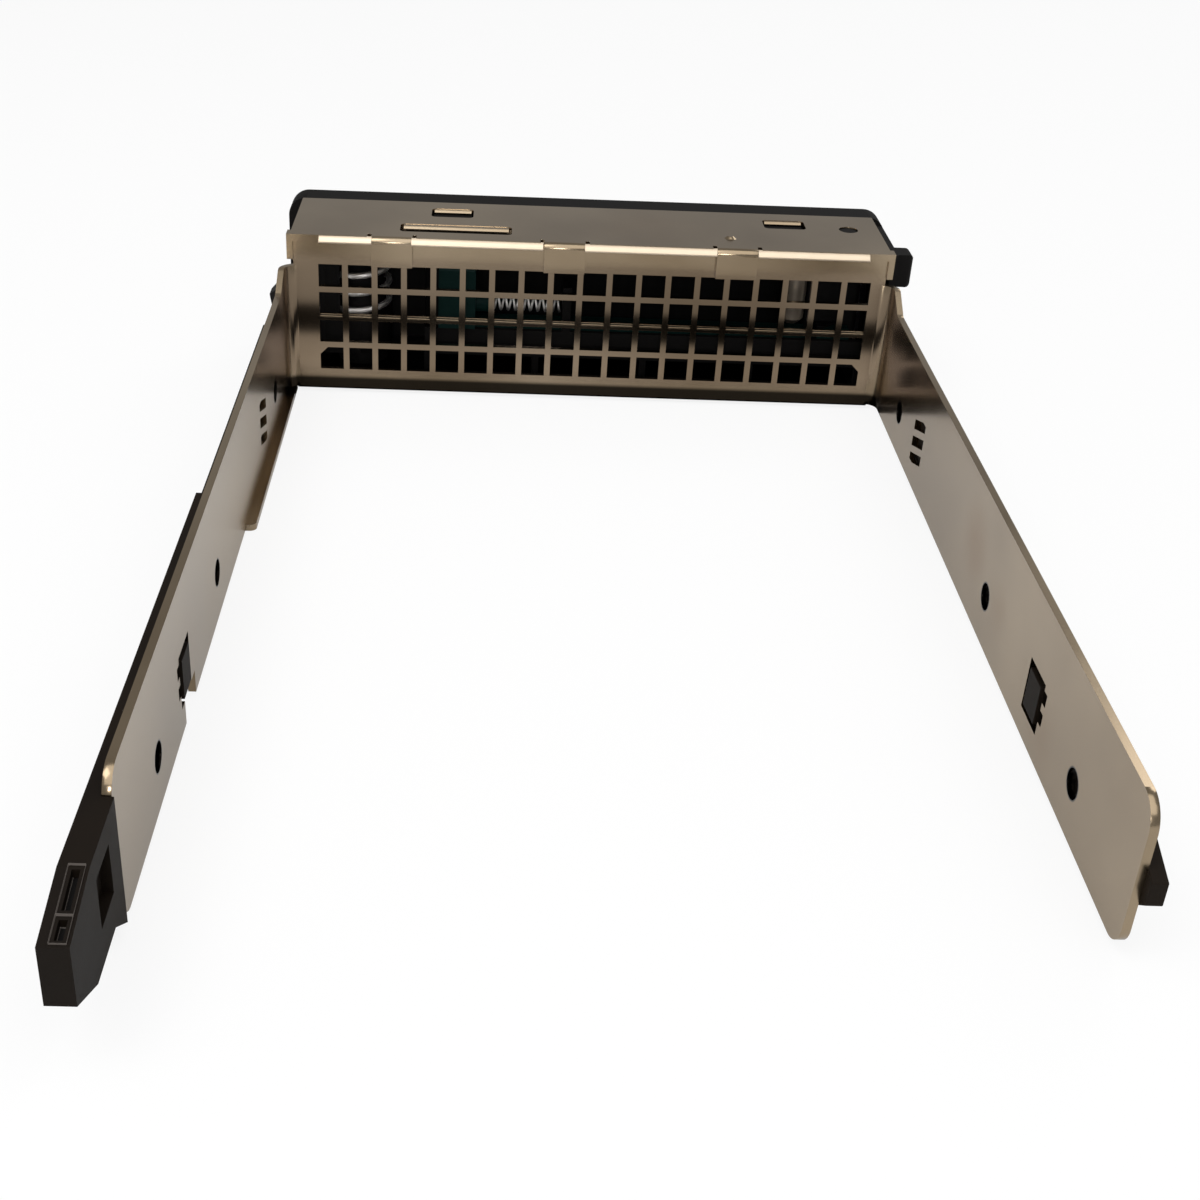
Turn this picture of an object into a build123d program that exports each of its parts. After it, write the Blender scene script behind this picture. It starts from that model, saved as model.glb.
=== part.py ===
"""Hot swap drive caddy: a folded steel cradle for a 3.5 inch drive, with a latched front lever.

Millimetres. X is the width, -Y the front with the lever, +Y the open end of the arms, +Z up.
The origin is the middle of the caddy's footprint, on the plane it stands on.
"""
from build123d import *
import os

# Overall sizes
BAY_WIDTH = 103.4
ARM_LENGTH = 139.5
BOX_DEPTH = 19.3
BOX_HEIGHT = 28.7
BEZEL_DEPTH = 7.2
TAIL_REACH = 19.5
SIDE_REACH = 56.6

# Folded steel
FRAME_SHEET = 1.0
COVER_SHEET = 1.2
ARM_LIFT = 1.0
ARM_HEIGHT = 18.9
ARM_BEND = 2.0
FLOOR_BEND = 1.2
EAR_RISE = 3.1
EAR_LENGTH = 1.5
EAR_SLOPE = 5.0
EAR_ROUND = 2.0
PLATE_MARGIN = 1.4
ARM_TOP_ROUND = 3.5
ARM_END_ROUND = 3.0
HEM_LENGTH = 52.0
HEM_WIDTH = 1.3
HEM_ROUND = 1.0

# Perforated plate
GRID_COLUMNS = 19
GRID_ROWS = 4
GRID_PITCH = 5.0
GRID_HOLE = 4.0
GRID_SHIFT = -0.9
GRID_TOP_MARGIN = 5.3
GUSSET = 1.3

# Openings in the arms
SCREW_HOLE = 3.7
SCREW_LEVEL = 6.4
SCREW_NEAR = 17.4
SCREW_SPACING = 101.6
SCREW_MIDDLE = 60.0
WINDOW_START = 98.6
WINDOW_LENGTH = 6.4
WINDOW_LEVEL = 3.2
WINDOW_HEIGHT = 7.2
BITE_DEPTH = 1.2
BITE_HEIGHT = 1.7
BITE_PITCH = 2.8
NOTCH_LEAD = 2.2
NOTCH_LENGTH = 6.8
VENT_START = 28.2
VENT_LENGTH = 6.6
VENT_OPENING = 8.4
VENT_SLOT = 1.6
VENT_PITCH = 2.7
VENT_COUNT = 3
VENT_LEVEL = 7.5
VENT_TILT = 18.0

# Top cover
COVER_WIDTH = 101.4
COVER_OVERHANG = 0.6
TAB_COUNT = 3
TAB_WIDTH = 6.9
TAB_PITCH = 29.1
TAB_SHIFT = 4.5
TAB_DROP = 5.1
TAB_BEND = 1.1
TAB_SLIT = 0.7
TAB_SLIT_DEPTH = 1.4
WING_WIDTH = 0.6
WING_DEPTH = 2.2
CORNER_TAB_DROP = 4.4
CATCH_WIDTH = 7.3
CATCH_SLOT = 4.6
CATCH_BACK = 13.5
CATCH_CORNER = 0.8
CATCH_PLACES = (23.9, -34.2)
LONG_SLOT_LENGTH = 19.0
LONG_SLOT = 4.1
LONG_SLOT_X = 23.0
LONG_SLOT_BACK = 4.85
DIMPLE_X = -23.9
DIMPLE_BACK = 5.3
DIMPLE_RADIUS = 1.1
DIMPLE_HEIGHT = 0.4
PEG_X = -45.3
PEG_BACK = 11.9
PEG_RADIUS = 1.5
PEG_CLEARANCE = 0.15
PEG_RECESS = 0.2

# Front frame
BEZEL_WIDTH = 106.6
BEZEL_WALL = 2.2
BEZEL_CORNER = 3.2
BEZEL_EDGE = 2.6
CHEEK = 1.0
CHEEK_BACK = 3.2
KEY_LENGTH = 4.0
KEY_HEIGHT = 5.8
KEY_FRONT = 12.0
KEY_TOP = 25.8
KEY_ROUND = 0.9
LUG_RADIUS = 4.4
LUG_NECK = 3.6
LUG_THICKNESS = 2.1
CATCH_ARM = 1.3
CATCH_ARM_LENGTH = 6.5
CATCH_BUMP = 0.4
CARRIER_WIDTH = 2.4
CARRIER_LENGTH = 6.0
CARRIER_MARGIN = 0.8

# Lever
HINGE_X = 40.0
HINGE_INSET = 4.3
PIN_RADIUS = 1.5
PIN_CLEARANCE = 0.05
KNUCKLE_RADIUS = 4.0
LEVER_END_X = -38.6
LEVER_DEPTH = 5.5
LEVER_HEEL = 6.3
LEVER_RIM = 2.0
LEVER_WALL = 1.5
FACE_THICKNESS = 2.2
FACE_END_X = 31.0
FACE_GAP = 0.1
SLOT_COUNT = 15
SLOT_PITCH = 4.4
SLOT_WIDTH = 2.4
SLOT_HEIGHT = 14.0
WEB_WIDTH = 5.0
WEB_TOP = 5.4
WEB_LOW = 6.4
WEB_REACH = 10.4
WEB_ROOT = 1.0
HOOK_LOW = 8.3
HOOK_TOP = 17.4
HOOK_NOSE = 12.5
HOOK_SLOPE = 4.9
HOOK_UNDERCUT = 0.9
HOOK_INNER = 6.2
HOOK_FRONT = 3.9
HOOK_BACK = 4.0
HOOK_TIP = 1.2
HOOK_TIP_CHAMFER = 3.0
STRIKE_X = 25.5
STRIKE_WIDTH = 2.0
STRIKE_LIP = 1.9
STRIKE_BACK = 13.1
LIP_THICKNESS = 1.6
LATCH_LOW = 13.5
LATCH_HEIGHT = 5.5
LATCH_GAP = 0.5

# Latch slider, release button and tray
BUTTON_SINK = 0.2
BUTTON_TRAVEL = 2.0
BUTTON_CAP = 2.4
BUTTON_RIM = 1.4
BUTTON_DEPTH = 5.4
BUTTON_ROUND = 1.0
SLIDER_BACK = 9.4
SLIDER_DEPTH = 3.2
SLIDER_HEIGHT = 4.0
SLIDER_END_X = -47.5
SLIDER_BLOCK_X = 19.5
SLIDER_BLOCK = 6.5
SLIDER_BLOCK_HEIGHT = 13.8
SLIDER_BLOCK_REACH = 2.0
TOOTH_LENGTH = 4.1
BOSS_LENGTH = 3.0
BOSS_RADIUS = 1.7
RAMP_X = -43.5
RAMP_ENTRY = 1.0
RAMP_GAP = 0.4
STEM_WIDTH = 4.0
STEM_RAMP = 2.4
TRAY_LEFT = -49.6
TRAY_RIGHT = 28.4
TRAY_LEVEL = 6.6
TRAY_FLOOR = 1.4
TRAY_BACK = 6.4
TRAY_DEPTH = 12.1
TRAY_RIB = 1.2
TRAY_RIBS = 5
FENCE = 1.0
FENCE_HEIGHT = 2.8
GATE_X = 2.6
GATE_WIDTH = 1.5
GATE_HEIGHT = 11.0
POST_LEFT = -48.6
POST_RIGHT = -39.9
POST_DEPTH = 3.0
POST_BACK = 15.0
POST_SHELF = 2.0
STOP_PIN_X = -36.1
STOP_PIN_BACK = 6.0
STOP_PIN_RADIUS = 2.0
STOP_PIN_LENGTH = 13.8

# Springs
COIL_STEPS = 14
COIL_SIDES = 6
LEVER_SPRING_WIRE = 1.3
LEVER_SPRING_TURNS = 2.6
LEVER_SPRING_GAP = 0.25
LATCH_SPRING_RADIUS = 1.25
LATCH_SPRING_WIRE = 0.5
LATCH_SPRING_TURNS = 9.0
LATCH_SPRING_RISE = 6.9
BUTTON_SPRING_RADIUS = 1.8
BUTTON_SPRING_WIRE = 0.5
BUTTON_SPRING_TURNS = 6.0
BUTTON_SPRING_LEVEL = 18.5

# Side rails and light pipes
RAIL_THICKNESS = 1.8
RAIL_START = -2.0
RAIL_NOSE_LOW = 1.9
RAIL_NOSE_TOP = 7.8
RAIL_CLIMB = 9.0
RAIL_LOW = 4.6
RAIL_FRONT_TOP = 15.7
RAIL_STEP = 74.0
RAIL_TOP = 17.6
TAIL_THICKNESS = 3.1
TAIL_HEEL = 1.3
TAIL_TOE = 4.6
TAIL_RISE = 4.5
TAIL_SLOPE = 8.8
TAIL_TIP_TOP = 15.6
TAIL_TIP_LOW = 8.5
TAIL_RAMP = 7.0
SLOT_LINE = 0.8
TAIL_SLOT = 0.8
TAIL_SLOT_DEPTH = 1.6
TAIL_SLOT_LONG = 4.5
TAIL_SLOT_SHORT = 2.2
TAIL_SLOT_GAP = 1.0
POCKET_START = 3.8
POCKET_LENGTH = 5.4
POCKET_LEVEL = 8.6
POCKET_HEIGHT = 6.1
POCKET_DEPTH = 1.2
CLIP_MARGIN = 0.9
CLIP_PROUD = 0.2
GUIDE_START = 12.0
GUIDE_OVERRUN = 1.5
GUIDE_LOW = 4.6
GUIDE_TOP = 13.4
GUIDE_TIP_LOW = 8.6
GUIDE_TIP_TOP = 11.6
GUIDE_RAMP = 5.0
GUIDE_EASE = 3.0
HEAD_RADIUS = 3.0
PIPE_HALF = 0.65
PIPE_GROOVE = 0.1
PIPE_SEAT = 0.05
PIPE_BEZEL_INSET = 1.2
PIPE_RECESS = 1.2
PIPE_LEVELS = {"light_pipe_upper": (5.8, 14.1), "light_pipe_lower": (3.2, 11.4)}
PIPE_STEP_OUT = 11.0
PIPE_STEP_END = 7.0
PIPE_CLIMB_START = 3.0
PIPE_CLIMB_END = 8.0
PIPE_TAIL_GAP = 3.0

# Running clearances
CLEAR = 0.3
PLAY = 0.2
THROUGH = 1.0

# Places worked out from the sizes above
LENGTH = BEZEL_DEPTH + BOX_DEPTH + ARM_LENGTH + TAIL_REACH
FRONT_Y = -LENGTH / 2
BEZEL_BACK_Y = FRONT_Y + BEZEL_DEPTH
PLATE_Y = BEZEL_BACK_Y + BOX_DEPTH
ARM_END_Y = PLATE_Y + ARM_LENGTH
TAIL_END_Y = ARM_END_Y + TAIL_REACH
ARM_IN = BAY_WIDTH / 2
ARM_OUT = ARM_IN + FRAME_SHEET
ARM_TOP = ARM_LIFT + ARM_HEIGHT
EAR_TOP = ARM_TOP + EAR_RISE
COVER_UNDER = BOX_HEIGHT - COVER_SHEET
PLATE_HALF = ARM_IN - PLATE_MARGIN
SCREW_Z = ARM_LIFT + SCREW_LEVEL
SCREW_YS = [PLATE_Y + SCREW_NEAR + step for step in (0, SCREW_MIDDLE, SCREW_SPACING)]
WINDOW_Y = PLATE_Y + WINDOW_START
WINDOW_Z = ARM_LIFT + WINDOW_LEVEL
BEZEL_HALF = BEZEL_WIDTH / 2
RING_IN = BEZEL_HALF - BEZEL_WALL
RING_TOP = BOX_HEIGHT - BEZEL_WALL
HINGE_Y = BEZEL_BACK_Y + HINGE_INSET
HINGE = Pos(HINGE_X, HINGE_Y)
SWEEP = HINGE_Y - FRONT_Y
LEVER_BACK_Y = FRONT_Y + LEVER_DEPTH
LEVER_LOW = BEZEL_WALL + CLEAR
LEVER_TOP = RING_TOP - CLEAR
KNUCKLE_LOW = FRAME_SHEET + LUG_THICKNESS + PLAY
KNUCKLE_TOP = COVER_UNDER - LUG_THICKNESS - PLAY
LATCH_TOP = LATCH_LOW + LATCH_HEIGHT
SLIDER_Z = TRAY_LEVEL + PLAY
SLIDER_BACK_Y = PLATE_Y - SLIDER_BACK
SLIDER_FRONT_Y = SLIDER_BACK_Y - SLIDER_DEPTH
BUTTON_LEFT = -RING_IN + CLEAR
BUTTON_RIGHT = LEVER_END_X - CLEAR
BUTTON_FRONT_Y = FRONT_Y + BUTTON_SINK
BUTTON_X = (BUTTON_LEFT + BUTTON_RIGHT) / 2
PEG_Y = PLATE_Y - PEG_BACK
POST_Y = PLATE_Y - POST_BACK
STEM_TOP = SLIDER_Z + SLIDER_HEIGHT
STEM_LOW = SLIDER_Z + SLIDER_HEIGHT / 2 + PLAY
GATE_Y0 = SLIDER_FRONT_Y - PLAY - FENCE
GATE_Y1 = SLIDER_BACK_Y + PLAY + FENCE
RAIL_OUT = ARM_OUT + RAIL_THICKNESS
SPRING_Z = TRAY_LEVEL + LATCH_SPRING_RISE


def rect(a0, a1, b0, b1):
    """Rectangle between two values on each sketch axis."""
    return Pos((a0 + a1) / 2, (b0 + b1) / 2) * Rectangle(a1 - a0, b1 - b0)


def outline(*points):
    """Face inside a closed run of points."""
    return make_face(Polyline(*points, close=True))


def across(sketch, x0, x1):
    """Prism of a side outline, drawn in Y and Z, between two X values."""
    return extrude(Plane.YZ.offset(x0) * sketch, amount=x1 - x0)


def through(sketch, y0, y1):
    """Prism of a front outline, drawn in X and Z, between two Y values."""
    return extrude(Plane((0, y1, 0), x_dir=(1, 0, 0), z_dir=(0, -1, 0)) * sketch, amount=y1 - y0)


def upright(sketch, z0, z1):
    """Prism of a plan outline, drawn in X and Y, between two Z values."""
    return extrude(Pos(0, 0, z0) * sketch, amount=z1 - z0)


def rounded(sketch, radius, *places):
    """Outline with the corners nearest to the given places rounded."""
    corners = [sketch.vertices().sort_by_distance((a, b, 0))[0] for a, b in places]
    return fillet(corners, radius)


def follow(section, points):
    """Section carried along a run of points, mitred at each."""
    path = Polyline(*points)
    return sweep(Plane(origin=path @ 0, z_dir=path % 0) * section, path=path, transition=Transition.RIGHT)


def coil(radius, wire, length, turns):
    """Open coil spring along +Z from the origin, bent in short straights."""
    steps = round(turns * COIL_STEPS)
    points = []
    for step in range(steps + 1):
        points.append(Vector(radius, 0, length * step / steps).rotate(Axis.Z, 360 * step / COIL_STEPS))
    return follow(RegularPolygon(wire / 2, COIL_SIDES), points)


# Folded steel


def arm_windows():
    """Side outline of the openings that both arms share."""
    holes = Sketch() + [Pos(y, SCREW_Z) * Circle(SCREW_HOLE / 2) for y in SCREW_YS]
    end = WINDOW_Y + WINDOW_LENGTH
    holes += rect(WINDOW_Y, end, WINDOW_Z, WINDOW_Z + WINDOW_HEIGHT)
    for step in (1, 2):
        low = WINDOW_Z + BITE_PITCH * step - BITE_HEIGHT / 2
        holes += rect(end, end + BITE_DEPTH, low, low + BITE_HEIGHT)
    return holes + vents()


def vents():
    """Side outline of the slanted slots, cut off square at both ends."""
    middle = Pos(PLATE_Y + VENT_START + VENT_LENGTH / 2, ARM_LIFT + VENT_LEVEL)
    bars = GridLocations(0, VENT_PITCH, 1, VENT_COUNT)
    slots = Rot(0, 0, VENT_TILT) * (Sketch() + bars * Rectangle(2 * VENT_LENGTH, VENT_SLOT))
    return middle * (slots & Rectangle(VENT_LENGTH, VENT_OPENING))


def arm_side():
    """Side outline of an arm: low, with an ear rising at the plate."""
    back = PLATE_Y - FRAME_SHEET
    slope = PLATE_Y + EAR_LENGTH
    foot = slope + EAR_SLOPE
    low = (ARM_END_Y, ARM_LIFT)
    high = (ARM_END_Y, ARM_TOP)
    side = outline((back, ARM_LIFT), low, high, (foot, ARM_TOP), (slope, EAR_TOP), (back, EAR_TOP))
    side = rounded(side, ARM_END_ROUND, low)
    side = rounded(side, ARM_TOP_ROUND, high)
    return rounded(side, EAR_ROUND, (foot, ARM_TOP), (slope, EAR_TOP))


def make_frame():
    """Plate, arms and box floor, folded from one sheet."""
    front = PLATE_Y - FRAME_SHEET
    outer = rounded(rect(-ARM_OUT, ARM_OUT, front, ARM_END_Y), ARM_BEND + FRAME_SHEET,
                    (-ARM_OUT, front), (ARM_OUT, front))
    inner = rounded(rect(-ARM_IN, ARM_IN, PLATE_Y, ARM_END_Y + THROUGH), ARM_BEND,
                    (-ARM_IN, PLATE_Y), (ARM_IN, PLATE_Y))
    arms = upright(outer - inner, 0, EAR_TOP) & across(arm_side(), -ARM_OUT, ARM_OUT)
    wrap = rounded(rect(BEZEL_BACK_Y, PLATE_Y, 0, COVER_UNDER), FLOOR_BEND + FRAME_SHEET, (PLATE_Y, 0))
    room = rounded(rect(BEZEL_BACK_Y - THROUGH, front, FRAME_SHEET, COVER_UNDER + THROUGH), FLOOR_BEND,
                   (front, FRAME_SHEET))
    fold = across(wrap - room, -PLATE_HALF, PLATE_HALF)
    wide = rect(-ARM_IN, ARM_IN, BEZEL_BACK_Y, front - FLOOR_BEND - FRAME_SHEET)
    frame = arms + fold + upright(wide, 0, FRAME_SHEET) + hem()
    windows = across(arm_windows(), -ARM_OUT - THROUGH, ARM_OUT + THROUGH)
    return frame - grid_holes() - windows - hem_notch()


def hem():
    """Lip folded in under one arm, which the drive's lower edge rests on."""
    start = PLATE_Y - FRAME_SHEET
    end = PLATE_Y + HEM_LENGTH
    plan = rect(ARM_IN - HEM_WIDTH, ARM_OUT, start, end)
    plan = rounded(plan, HEM_ROUND, (ARM_IN - HEM_WIDTH, end))
    plan = rounded(plan, ARM_BEND, (ARM_OUT, start))
    edge = rect(PLATE_Y + ARM_BEND, end, 0, ARM_LIFT + THROUGH)
    return upright(plan, 0, ARM_LIFT) + across(edge, ARM_IN, ARM_OUT)


def hem_notch():
    """Opening from one arm's lower edge up into its window."""
    start = WINDOW_Y - NOTCH_LEAD
    side = rect(start, start + NOTCH_LENGTH, ARM_LIFT - THROUGH, WINDOW_Z)
    return across(side, ARM_IN - THROUGH, ARM_OUT + THROUGH)


def grid_holes():
    """Square airflow holes, with a small gusset left in the two low outer corners."""
    top = BOX_HEIGHT - GRID_TOP_MARGIN
    middle = top - GRID_HOLE / 2 - GRID_PITCH * (GRID_ROWS - 1) / 2
    holes = Pos(GRID_SHIFT, middle) * GridLocations(GRID_PITCH, GRID_PITCH, GRID_COLUMNS, GRID_ROWS)
    sketch = Sketch() + holes * Rectangle(GRID_HOLE, GRID_HOLE)
    reach = GRID_PITCH * (GRID_COLUMNS - 1) / 2 + GRID_HOLE / 2
    high = top - GRID_PITCH * (GRID_ROWS - 1)
    for side in (-1, 1):
        corner = GRID_SHIFT + side * reach
        sketch -= outline((corner, high), (corner - side * GUSSET, high), (corner, high - GUSSET))
    return through(sketch, PLATE_Y - FRAME_SHEET - THROUGH, PLATE_Y + THROUGH)


def make_top_cover():
    """Lid of the box: tabs folded over the plate, ears at the corners, slots for the catches."""
    half = COVER_WIDTH / 2
    rear = PLATE_Y + COVER_OVERHANG
    wing = half + WING_WIDTH
    lid = upright(rect(-half, half, BEZEL_BACK_Y, rear), COVER_UNDER, BOX_HEIGHT)
    lid += upright(rect(-wing, wing, rear - WING_DEPTH, rear), COVER_UNDER, BOX_HEIGHT)
    for side in (-1, 1):
        a, b = sorted((side * wing, side * PLATE_HALF))
        lid += upright(rect(a, b, rear - WING_DEPTH, rear), BOX_HEIGHT - CORNER_TAB_DROP, BOX_HEIGHT)
    tabs = [Pos(x, 0) for x in tab_places()]
    fold = rect(PLATE_Y, PLATE_Y + COVER_SHEET, BOX_HEIGHT - TAB_DROP, BOX_HEIGHT)
    fold = rounded(fold, TAB_BEND, (PLATE_Y + COVER_SHEET, BOX_HEIGHT))
    slit = TAB_WIDTH / 2 + TAB_SLIT
    for place in tabs:
        plan = rect(-slit, slit, rear - TAB_SLIT_DEPTH, rear + THROUGH)
        lid -= place * upright(plan, COVER_UNDER, BOX_HEIGHT)
        plan = rect(-TAB_WIDTH / 2, TAB_WIDTH / 2, rear - TAB_SLIT_DEPTH, PLATE_Y)
        lid += place * (upright(plan, COVER_UNDER, BOX_HEIGHT) + across(fold, -TAB_WIDTH / 2, TAB_WIDTH / 2))
    slot = RectangleRounded(CATCH_WIDTH, CATCH_SLOT, CATCH_CORNER)
    holes = Sketch() + [Pos(x, PLATE_Y - CATCH_BACK) * slot for x in CATCH_PLACES]
    slot = RectangleRounded(LONG_SLOT_LENGTH, LONG_SLOT, CATCH_CORNER)
    holes += Pos(LONG_SLOT_X, PLATE_Y - LONG_SLOT_BACK) * slot
    holes += Pos(PEG_X, PEG_Y) * Circle(PEG_RADIUS + PEG_CLEARANCE)
    lid -= upright(holes, COVER_UNDER - THROUGH, BOX_HEIGHT + THROUGH)
    dimple = Pos(DIMPLE_X, PLATE_Y - DIMPLE_BACK, BOX_HEIGHT) * Cone(
        DIMPLE_RADIUS, DIMPLE_RADIUS / 2, DIMPLE_HEIGHT, align=(Align.CENTER, Align.CENTER, Align.MIN))
    return lid + dimple


def tab_places():
    """Middle of each tab along the plate."""
    return [TAB_SHIFT + TAB_PITCH * (step - (TAB_COUNT - 1) / 2) for step in range(TAB_COUNT)]


def make_stop_pin():
    """Steel pin hanging from the lid, rounded at its lower end."""
    low = COVER_UNDER - STOP_PIN_LENGTH
    pin = upright(Circle(STOP_PIN_RADIUS), low, COVER_UNDER)
    pin = chamfer(pin.edges().group_by(Axis.Z)[0], STOP_PIN_RADIUS / 2)
    return Pos(STOP_PIN_X, PLATE_Y - STOP_PIN_BACK) * pin


# Moulded front


def make_bezel():
    """Front frame with hinge lugs, lid catches, a side cheek with its key and a pipe carrier."""
    face = RectangleRounded(BEZEL_WIDTH, BOX_HEIGHT, BEZEL_CORNER)
    block = through(Pos(0, BOX_HEIGHT / 2) * face, FRONT_Y, BEZEL_BACK_Y)
    block = fillet(block.faces().sort_by(Axis.Y)[0].edges(), BEZEL_EDGE)
    heel = HINGE_X + LEVER_HEEL + CLEAR
    block -= through(rect(-RING_IN, heel, BEZEL_WALL, RING_TOP), FRONT_Y - THROUGH, BEZEL_BACK_Y + THROUGH)
    block -= lever_room()
    block += bezel_lugs() + bezel_catches() + bezel_cheek() + pipe_carrier()
    return block - pipe_bores()


def lever_room():
    """Room that the lever's heel turns in."""
    return HINGE * upright(Circle(SWEEP + CLEAR), BEZEL_WALL, RING_TOP)


def bezel_lugs():
    """Two lugs that hold the hinge pin, under the lid and on the floor."""
    neck = rect(-LUG_NECK, LUG_NECK, BEZEL_BACK_Y - HINGE_Y, 0)
    plan = HINGE * (Circle(LUG_RADIUS) + neck - Circle(PIN_RADIUS + PIN_CLEARANCE))
    low = upright(plan, FRAME_SHEET, FRAME_SHEET + LUG_THICKNESS)
    return low + upright(plan, COVER_UNDER - LUG_THICKNESS, COVER_UNDER)


def bezel_catches():
    """Sprung tongues whose bumps stand in the lid's slots."""
    tip = BEZEL_BACK_Y + CATCH_ARM_LENGTH
    middle = PLATE_Y - CATCH_BACK
    half = CATCH_SLOT / 2 - CLEAR
    low = COVER_UNDER - CATCH_ARM
    high = COVER_UNDER + CATCH_BUMP
    side = rect(BEZEL_BACK_Y, tip, low, COVER_UNDER)
    side += outline((middle - half, COVER_UNDER), (middle - half, high), (middle, high), (tip, COVER_UNDER))
    width = CATCH_WIDTH / 2 - CLEAR
    tongue = across(side, -width, width)
    return Part() + [Pos(x, 0) * tongue for x in CATCH_PLACES]


def bezel_cheek():
    """Wall that closes one side of the box, with the key block outside it."""
    back = PLATE_Y - CHEEK_BACK
    wall = across(rect(BEZEL_BACK_Y, back, FRAME_SHEET, COVER_UNDER - PLAY), -ARM_OUT, -ARM_OUT + CHEEK)
    front = PLATE_Y - KEY_FRONT
    key = across(rect(front, front + KEY_LENGTH, KEY_TOP - KEY_HEIGHT, KEY_TOP), -SIDE_REACH, -ARM_OUT)
    outer = key.faces().sort_by(Axis.X)[0]
    return wall + fillet(outer.edges(), KEY_ROUND)


def pipe_carrier():
    """Low block that leads the light pipes out of the front frame."""
    levels = [front for front, rail in PIPE_LEVELS.values()]
    room = PIPE_HALF + CARRIER_MARGIN
    side = rect(BEZEL_BACK_Y, BEZEL_BACK_Y + CARRIER_LENGTH, min(levels) - room, max(levels) + room)
    return across(side, BEZEL_HALF - CARRIER_WIDTH, BEZEL_HALF) - lever_room()


def pipe_path(front_level, rail_level, start):
    """Route of one light pipe, from the front frame to the tail."""
    inset = BEZEL_HALF - PIPE_BEZEL_INSET
    rail = ARM_OUT + PIPE_SEAT + PIPE_HALF
    points = [
        (inset, start, front_level),
        (inset, PLATE_Y - PIPE_STEP_OUT, front_level),
        (rail, PLATE_Y - PIPE_STEP_END, front_level),
        (rail, PLATE_Y - PIPE_CLIMB_START, front_level),
        (rail, PLATE_Y + PIPE_CLIMB_END, rail_level),
        (rail, TAIL_END_Y - PIPE_TAIL_GAP, rail_level),
    ]
    return points


def pipe(levels, half, start):
    """Square rod along a light pipe's route."""
    return follow(Rectangle(2 * half, 2 * half), pipe_path(*levels, start))


def pipe_bores():
    """Room for both light pipes, with clearance."""
    bores = [pipe(levels, PIPE_HALF + PIPE_GROOVE, FRONT_Y - THROUGH) for levels in PIPE_LEVELS.values()]
    return Part() + bores


def make_hinge_pin():
    """Steel pin from the floor to the lid."""
    return HINGE * upright(Circle(PIN_RADIUS), FRAME_SHEET, COVER_UNDER)


# Lever


def lever_slots(y0, y1):
    """Airflow slots through the lever's face."""
    middle = Pos((LEVER_END_X + FACE_END_X) / 2, (LEVER_LOW + LEVER_TOP) / 2)
    slots = GridLocations(SLOT_PITCH, 0, SLOT_COUNT, 1) * Rectangle(SLOT_WIDTH, SLOT_HEIGHT)
    return through(middle * (Sketch() + slots), y0, y1)


def face_area(margin):
    """Front outline of the panel's seat, drawn in by a margin."""
    edge = LEVER_RIM + margin
    return rect(LEVER_END_X + edge, FACE_END_X - edge, LEVER_LOW + edge, LEVER_TOP - edge)


def make_lever():
    """Pull lever: a ribbed bar, the hinge knuckle, and a cam hook on the far side of the hinge."""
    heel = rect(-LEVER_RIM - KNUCKLE_RADIUS, LEVER_HEEL, -SWEEP, -SWEEP + LEVER_DEPTH) & Circle(SWEEP)
    bar = upright(rect(LEVER_END_X, HINGE_X - KNUCKLE_RADIUS, FRONT_Y, LEVER_BACK_Y), LEVER_LOW, LEVER_TOP)
    bar += HINGE * upright(heel, LEVER_LOW, LEVER_TOP)
    bar -= through(face_area(0), FRONT_Y, FRONT_Y + FACE_THICKNESS)
    bar -= through(face_area(0), FRONT_Y + FACE_THICKNESS + LEVER_WALL, LEVER_BACK_Y)
    lever = bar + lever_webs() + lever_hook() + lever_strike()
    return lever - HINGE * upright(Circle(PIN_RADIUS + PIN_CLEARANCE), 0, BOX_HEIGHT)


def hook_plan():
    """Plan outline of the cam hook about the hinge."""
    tip = SIDE_REACH - HINGE_X
    shoulder = tip - HOOK_TIP_CHAMFER
    root = HOOK_FRONT + HOOK_TIP
    plan = outline((0, -HOOK_FRONT), (shoulder, -HOOK_FRONT), (tip, HOOK_TIP - HOOK_TIP_CHAMFER),
                   (tip, HOOK_TIP), (shoulder - CLEAR, HOOK_BACK), (HOOK_INNER, root), (0, root))
    return rounded(plan, 2 * CLEAR, (tip, HOOK_TIP))


def lever_webs():
    """Knuckle, and the two webs that carry the hook."""
    neck = rect(-WEB_WIDTH, LEVER_HEEL, -SWEEP + LEVER_DEPTH - WEB_ROOT, 0)
    web = Circle(WEB_WIDTH) + neck + (hook_plan() & Circle(WEB_REACH))
    knuckle = upright(Circle(KNUCKLE_RADIUS), KNUCKLE_LOW, KNUCKLE_TOP)
    knuckle += upright(web, KNUCKLE_LOW, KNUCKLE_LOW + WEB_LOW)
    return HINGE * (knuckle + upright(web, KNUCKLE_TOP - WEB_TOP, KNUCKLE_TOP))


def lever_hook():
    """Hook that stands out of the box's side, sloped on top and undercut below."""
    tip = SIDE_REACH - HINGE_X
    high = KNUCKLE_TOP - WEB_TOP
    front = outline(
        (0, HOOK_LOW), (tip - HOOK_UNDERCUT, HOOK_LOW), (tip, HOOK_NOSE), (tip - HOOK_SLOPE, HOOK_TOP),
        (WEB_REACH, HOOK_TOP), (WEB_REACH - WEB_ROOT, high), (0, high))
    ring = hook_plan() - Circle(HOOK_INNER)
    return HINGE * (upright(ring, HOOK_LOW, high) & through(front, -SWEEP, SWEEP))


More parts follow.
